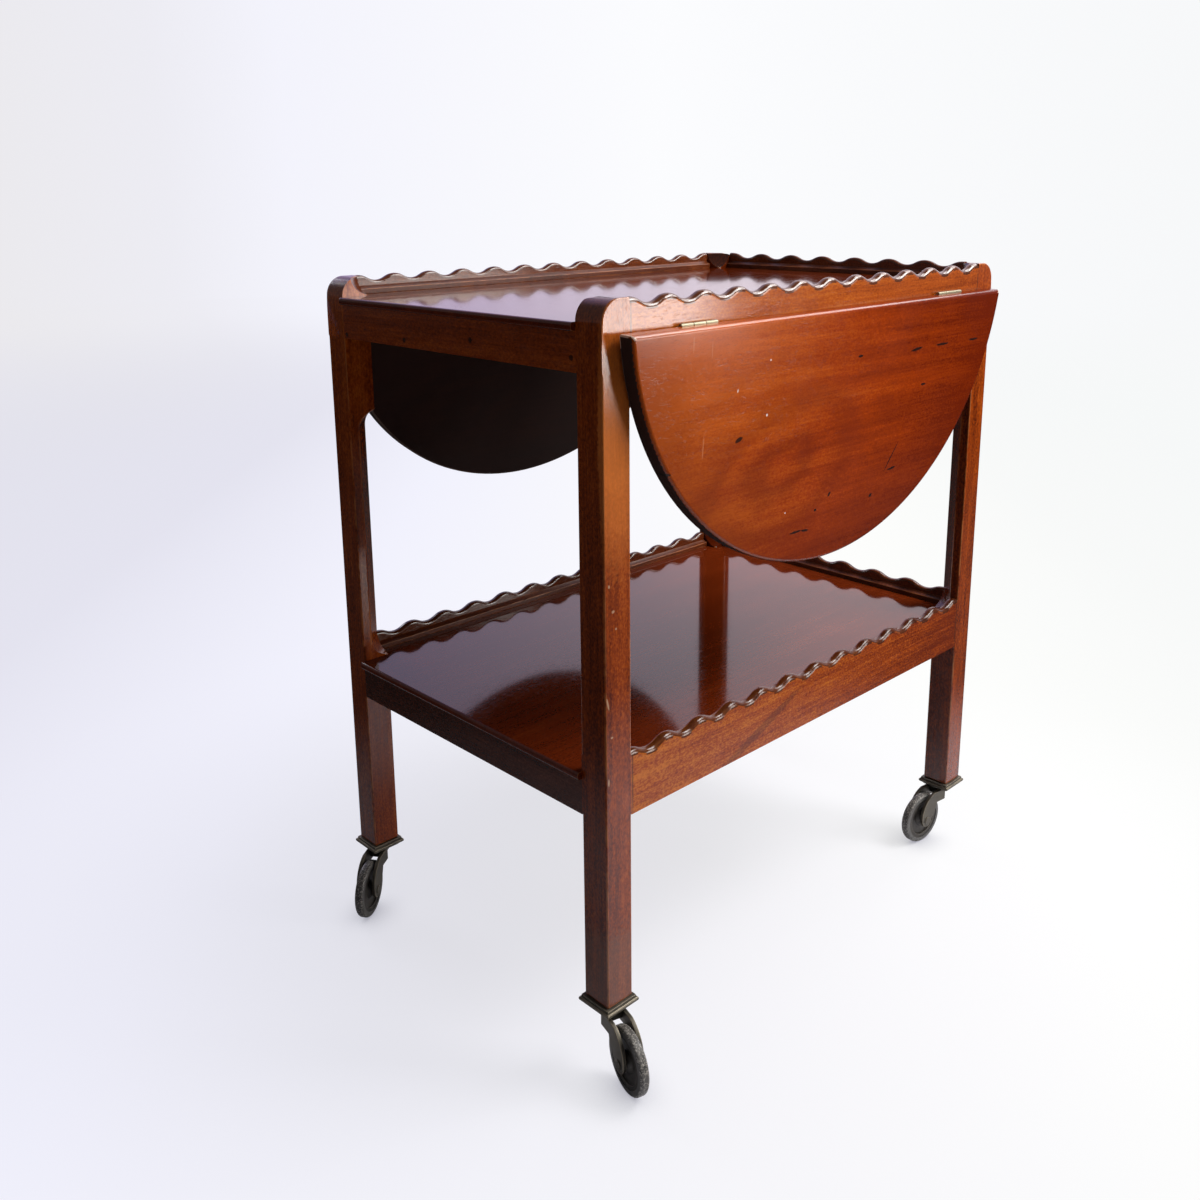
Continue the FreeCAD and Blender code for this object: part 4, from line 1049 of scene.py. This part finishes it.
@dataclass
class Castor:
    """One castor: cap, fork, axle, wheel and tyre."""

    bench: Bench
    corner: str
    arrises: tuple[tuple[str, float], ...] = (
        ("cap", 0.0005), ("fork", 0.0008), ("axle", 0.0004), ("wheel", 0.0005),
    )
    tread_share: float = 0.95

    def build(self, brass: Finish, iron: Finish, rubber: Finish) -> None:
        """Build the castor.

        Args:
            brass: metal of the cap, fork and axle.
            iron: metal of the wheel.
            rubber: finish of the tyre.
        """
        for piece, radius in self.arrises:
            slot = "axle" if piece == "axle" else "castor_brass"
            metal = iron if piece == "wheel" else brass
            self.bench.eased(f"castor_{piece}_{self.corner}", metal, slot, radius)
        node = f"castor_tyre_{self.corner}"
        work = self.bench.copy(node)
        tread = work.faces.layers.float.new("tread")
        low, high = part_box(node)
        centre = (low + high) / 2
        reach = high.z - centre.z
        for face in work.faces:
            if (face.calc_center_median() - centre).length > reach * self.tread_share:
                face[tread] = 1.0
        self.bench.seat(work, f"{node}_finished", self.bench.body_of[node], rubber, "tyre", (node,))


@dataclass(frozen=True)
class Softbox:
    """Soft light of a given brightness."""

    name: str
    place: Triple
    target: Triple
    size: Pair
    radiance: float
    colour: Colour

    def hang(self) -> None:
        """Add the light to the scene."""
        data = bpy.data.lights.new(self.name, "AREA")
        data.shape = "RECTANGLE"
        data.size, data.size_y = self.size
        data.energy = self.radiance * math.pi * (self.size[0] * self.size[1])
        data.color = self.colour
        light = bpy.data.objects.new(self.name, data)
        light.location = self.place
        light.rotation_euler = (Vector(self.target) - Vector(self.place)).to_track_quat("-Z", "Y").to_euler()
        bpy.context.scene.collection.objects.link(light)


@dataclass
class Studio:
    """Floor, white surround, soft lights and the camera. Lengths are in metres, angles in degrees."""

    eye: Triple = (-0.96742, -0.89169, 0.82117)
    yaw: float = 43.560
    pitch: float = 13.288
    roll: float = -0.593
    lens: float = 34.787
    sensor: float = 36.0
    near: float = 0.01
    drop: float = -0.1106
    # White surround seen by the camera, with painted shade towards the left.
    shaded_whites: tuple[tuple[float, Colour], ...] = (
        (0.04, (0.83, 0.82, 0.85)), (0.16, (0.845, 0.84, 0.895)), (0.25, (0.90, 0.90, 0.975)),
        (0.55, (0.97, 0.975, 0.995)), (0.95, (0.93, 0.94, 0.95)),
    )
    # Floor whites with painted shade towards the left.
    shaded_floor_whites: tuple[tuple[float, Colour], ...] = (
        (0.15, (0.765, 0.76, 0.84)), (0.30, (0.775, 0.77, 0.865)), (0.40, (0.885, 0.885, 0.985)),
        (0.50, (0.95, 0.95, 0.985)), (0.58, (0.985, 0.99, 0.975)), (0.68, (0.94, 0.95, 0.945)),
        (0.80, (0.925, 0.94, 0.94)),
    )
    floor_radius: float = 9.0
    floor_steps: int = 96
    floor_span: float = 6.0
    horizon_reach: Pair = (2.5, 8.0)
    bearing_gain: float = 0.88
    left_gloss: Colour = (0.54, 0.45, 0.78)
    right_gloss: Colour = (1.15, 1.08, 1.18)
    dark: Colour = (0.16, 0.15, 0.155)
    # Painted shade: the floor beyond the paper's reach is dark where it is seen in gloss.
    shaded_far_paper: Colour = (0.07, 0.068, 0.07)
    ambient: Colour = (0.096, 0.093, 0.099)
    paper: Colour = (0.84, 0.845, 0.92)
    bounce: Colour = (0.42, 0.42, 0.45)
    shadow: Colour = (0.44, 0.44, 0.51)
    contact: float = 0.045
    contact_samples: int = 12
    contact_edge: Pair = (0.15, 1.0)
    sheen_turn: Pair = (-0.35, 0.25)
    backdrop_turn: Pair = (0.35, 0.7)
    mirrored_paper: Pair = (0.52, 0.92)
    shade_reach: Pair = (0.2, 0.95)
    shade_fade: Pair = (0.74, 1.0)
    lights: tuple[Softbox, ...] = (
        Softbox("key_softbox", (1.17, -1.76, 0.80), (0.0, 0.0, 0.68), (0.60, 0.95), 11.5, (1.0, 0.97, 0.93)),
        Softbox("front_softbox", (1.00, -1.12, 2.00), (0.0, -0.2, 0.5), (0.9, 0.8), 18.0, (1.0, 0.97, 0.94)),
        Softbox("back_softbox", (-0.20, 2.1, 1.3), (0.0, 0.0, 0.45), (0.8, 0.8), 5.0, (0.98, 0.98, 1.0)),
        Softbox("edge_softbox", (1.45, -0.45, 1.95), (0.0, -0.2, 0.6), (1.1, 0.9), 6.5, (1.0, 0.98, 0.96)),
    )

    def build(self) -> None:
        """Set up the studio."""
        self.camera()
        self.world()
        self.floor()
        for light in self.lights:
            light.hang()
        bpy.context.scene.view_settings.view_transform = "Standard"

    @property
    def level(self) -> Vector:
        """Level way to the right of the picture."""
        yaw = math.radians(self.yaw)
        return Vector((math.cos(yaw), -math.sin(yaw), 0.0))

    def camera(self) -> None:
        """Stand the camera where the photo was taken from."""
        yaw, pitch, roll = (math.radians(angle) for angle in (self.yaw, self.pitch, self.roll))
        forward = Vector((math.cos(pitch) * math.sin(yaw), math.cos(pitch) * math.cos(yaw), -math.sin(pitch)))
        up = self.level.cross(forward)
        right = self.level * math.cos(roll) + up * math.sin(roll)
        upright = right.cross(forward)
        data = bpy.data.cameras.new("photo_camera")
        data.sensor_width = self.sensor
        data.lens = self.lens
        data.shift_y = self.drop
        data.clip_start = self.near
        camera = bpy.data.objects.new("photo_camera", data)
        turn = Matrix((right, upright, -forward)).transposed()
        camera.matrix_world = Matrix.Translation(self.eye) @ turn.to_4x4()
        bpy.context.scene.collection.objects.link(camera)
        bpy.context.scene.camera = camera

    def world(self) -> None:
        """White surround in view, painted darker towards the left, which lights little and is dark in gloss
        at the near sides.
        """
        world = bpy.data.worlds.new("studio_surround")
        bpy.context.scene.world = world
        tree = Tree(world)
        path = tree.add("ShaderNodeLightPath").outputs
        way = tree.add("ShaderNodeTexCoord").outputs["Generated"]
        side = tree.vector("DOT_PRODUCT", way, tuple(self.level), output="Value")
        white = tree.ramp(tree.math("ADD", side, 0.5), self.shaded_whites)
        behind = tree.vector("DOT_PRODUCT", way, (math.sqrt(0.5), math.sqrt(0.5), 0.0), output="Value")
        sheen = tree.mix(tree.between(side, *self.sheen_turn), self.left_gloss, self.right_gloss)
        gloss = tree.mix(tree.between(behind, *self.backdrop_turn), self.dark, sheen)
        colour = tree.mix(path["Is Glossy Ray"], self.ambient, gloss)
        seen = tree.math("MAXIMUM", path["Is Camera Ray"], path["Is Transmission Ray"])
        surround = tree.add("ShaderNodeBackground")
        tree.fill(surround, Color=tree.mix(seen, colour, white))
        tree.fill(tree.add("ShaderNodeOutputWorld"), Surface=surround.outputs[0])

    def floor(self) -> None:
        """White floor that fades into the surround and keeps the shadows, with painted contact shadow where
        it is occluded, painted shade towards the left and a painted dark far part in gloss.
        """
        work = bmesh.new()
        bmesh.ops.create_circle(work, cap_ends=True, segments=self.floor_steps, radius=self.floor_radius)
        mesh = bpy.data.meshes.new("studio_floor")
        work.to_mesh(mesh)
        work.free()
        floor = bpy.data.objects.new("studio_floor", mesh)
        bpy.context.scene.collection.objects.link(floor)
        material = bpy.data.materials.new("floor_paper")
        tree = Tree(material)
        path = tree.add("ShaderNodeLightPath").outputs
        place = tree.add("ShaderNodeTexCoord").outputs["Object"]
        reach = tree.vector("LENGTH", place, output="Value")
        side = tree.vector("DOT_PRODUCT", place, tuple(self.level), output="Value")
        white = tree.ramp(tree.math("MULTIPLY_ADD", side, 1 / self.floor_span, 0.5), self.shaded_floor_whites)
        heading = tree.vector("NORMALIZE", place)
        bearing = tree.vector("DOT_PRODUCT", heading, tuple(self.level), output="Value")
        horizon = tree.ramp(tree.math("MULTIPLY_ADD", bearing, self.bearing_gain, 0.5), self.shaded_whites)
        white = tree.mix(tree.between(reach, *self.horizon_reach), white, horizon)
        glow = tree.add("ShaderNodeEmission")
        # Painted contact shadow: where the ambient occlusion closes, the glow takes the shadow colour.
        nearby = tree.add("ShaderNodeAmbientOcclusion", samples=self.contact_samples)
        tree.fill(nearby, Distance=self.contact)
        open_share = tree.between(nearby.outputs["AO"], *self.contact_edge)
        tree.fill(glow, Color=tree.mix(open_share, self.shadow, white))
        gloss = tree.mix(tree.between(reach, *self.mirrored_paper), self.paper, self.shaded_far_paper)
        colour = tree.mix(path["Is Glossy Ray"], self.bounce, gloss)
        paper = tree.add("ShaderNodeBsdfDiffuse")
        tree.fill(paper, Color=tree.mix(path["Is Camera Ray"], colour, self.paper))
        blend = tree.add("ShaderNodeMixShader")
        painted_light_patch = tree.between(reach, *self.shade_reach, *self.shade_fade)
        share = tree.math("MULTIPLY", path["Is Camera Ray"], painted_light_patch)
        for socket, value in zip(blend.inputs, (share, paper.outputs[0], glow.outputs[0])):
            tree.feed(socket, value)
        tree.fill(tree.add("ShaderNodeOutputMaterial"), Surface=blend.outputs[0])
        mesh.materials.append(material)


def leaf_marks() -> tuple[Blemish, ...]:
    """Bruises, specks and scratches on the front leaf's face.

    Returns:
        The marks, by colour.
    """
    # Place along the trolley and height, then half length, half height and lean.
    bruises = (
        (-0.1601, 0.6004, 0.0045, 0.0019, -14), (-0.0108, 0.5208, 0.0026, 0.0016, -40),
        (0.0651, 0.5053, 0.0028, 0.0016, -20), (0.1321, 0.6556, 0.0100, 0.0013, -6),
        (0.1830, 0.6561, 0.0105, 0.0012), (0.2504, 0.6554, 0.0085, 0.0011),
        (0.1512, 0.6152, 0.0040, 0.0012), (0.0268, 0.6588, 0.0036, 0.0012),
        (-0.0640, 0.4912, 0.0090, 0.0011), (-0.0490, 0.4899, 0.0060, 0.0012, 8),
        (0.1018, 0.5288, 0.0070, 0.0012, -6), (0.0991, 0.5417, 0.0165, 0.0007, -50.7),
        (-0.0332, 0.5082, 0.0020, 0.0012), (-0.2554, 0.5831, 0.0040, 0.0013),
    )
    specks = (
        (-0.1209, 0.6183, 0.0010, 0.0012), (-0.1199, 0.6701, 0.0008, 0.0008),
        (-0.1653, 0.6466, 0.0006, 0.0015, 10), (-0.0830, 0.5150, 0.0007, 0.0007),
    )
    scratches = (
        (-0.2097, 0.6008, 0.0007, 0.0095, 3), (-0.2276, 0.6943, 0.0008, 0.0060),
        (-0.2030, 0.6880, 0.0006, 0.0070),
    )
    kinds = (
        ((0.010, 0.006, 0.005), 0.92, bruises),
        ((0.75, 0.68, 0.62), 0.9, specks),
        ((0.55, 0.20, 0.08), 0.55, scratches),
    )
    return tuple(Blemish(colour, strength, tuple(Mark.front(x, LEAF_FACE, *rest) for x, *rest in places))
                 for colour, strength, places in kinds)


def main() -> None:
    """Build the trolley's looks in order."""
    logging.basicConfig(level=logging.INFO)
    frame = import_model()
    bench = Bench(frame)
    Studio().build()
    Frame(bench).build()
    Trays(bench).build()
    leaf_finish = LeafMahogany("leaf_mahogany", Grain.ALONG, deep=(0.115, 0.010, 0.001),
                               middle=(0.28, 0.033, 0.0015), pale=(0.49, 0.092, 0.006),
                               # The cream worn colour on the leaf's top arris is partly wear and partly a
                               # painted highlight.
                               worn=(0.74, 0.57, 0.45), fine=0.55, seed=1.3, wear=0.95, rub=(0.22, 0.48),
                               # Painted light slope: the leaf is painted lighter to the left and towards the
                               # top.
                               gloss=0.17, specular=0.28, painted_light_slope=(-1.15, 0.0, 0.9), start=-0.54,
                               blemishes=leaf_marks()).material()
    hinge_brass = OldBrass("hinge_brass", dull=(0.18, 0.16, 0.10), green=(0.27, 0.245, 0.16),
                           bright=(0.44, 0.39, 0.26), metallic=0.6, roughness=0.4).material()
    plain = Mahogany("stay_wood", Grain.ACROSS, seed=4.4, gloss=0.5).material()
    for side, lean in (("front", -2.6), ("back", 13.5)):
        DropLeaf(bench, side, lean).build(leaf_finish, hinge_brass, plain)
    brass = OldBrass("castor_brass").material()
    iron = OldBrass("wheel_metal", dull=(0.034, 0.031, 0.028), green=(0.062, 0.056, 0.048),
                    bright=(0.15, 0.13, 0.105), metallic=0.35, roughness=0.5).material()
    rubber = OldRubber("tyre_rubber").material()
    for corner in ("front_left", "back_left", "front_right", "back_right"):
        Castor(bench, corner).build(brass, iron, rubber)


if __name__ == "__main__":
    main()
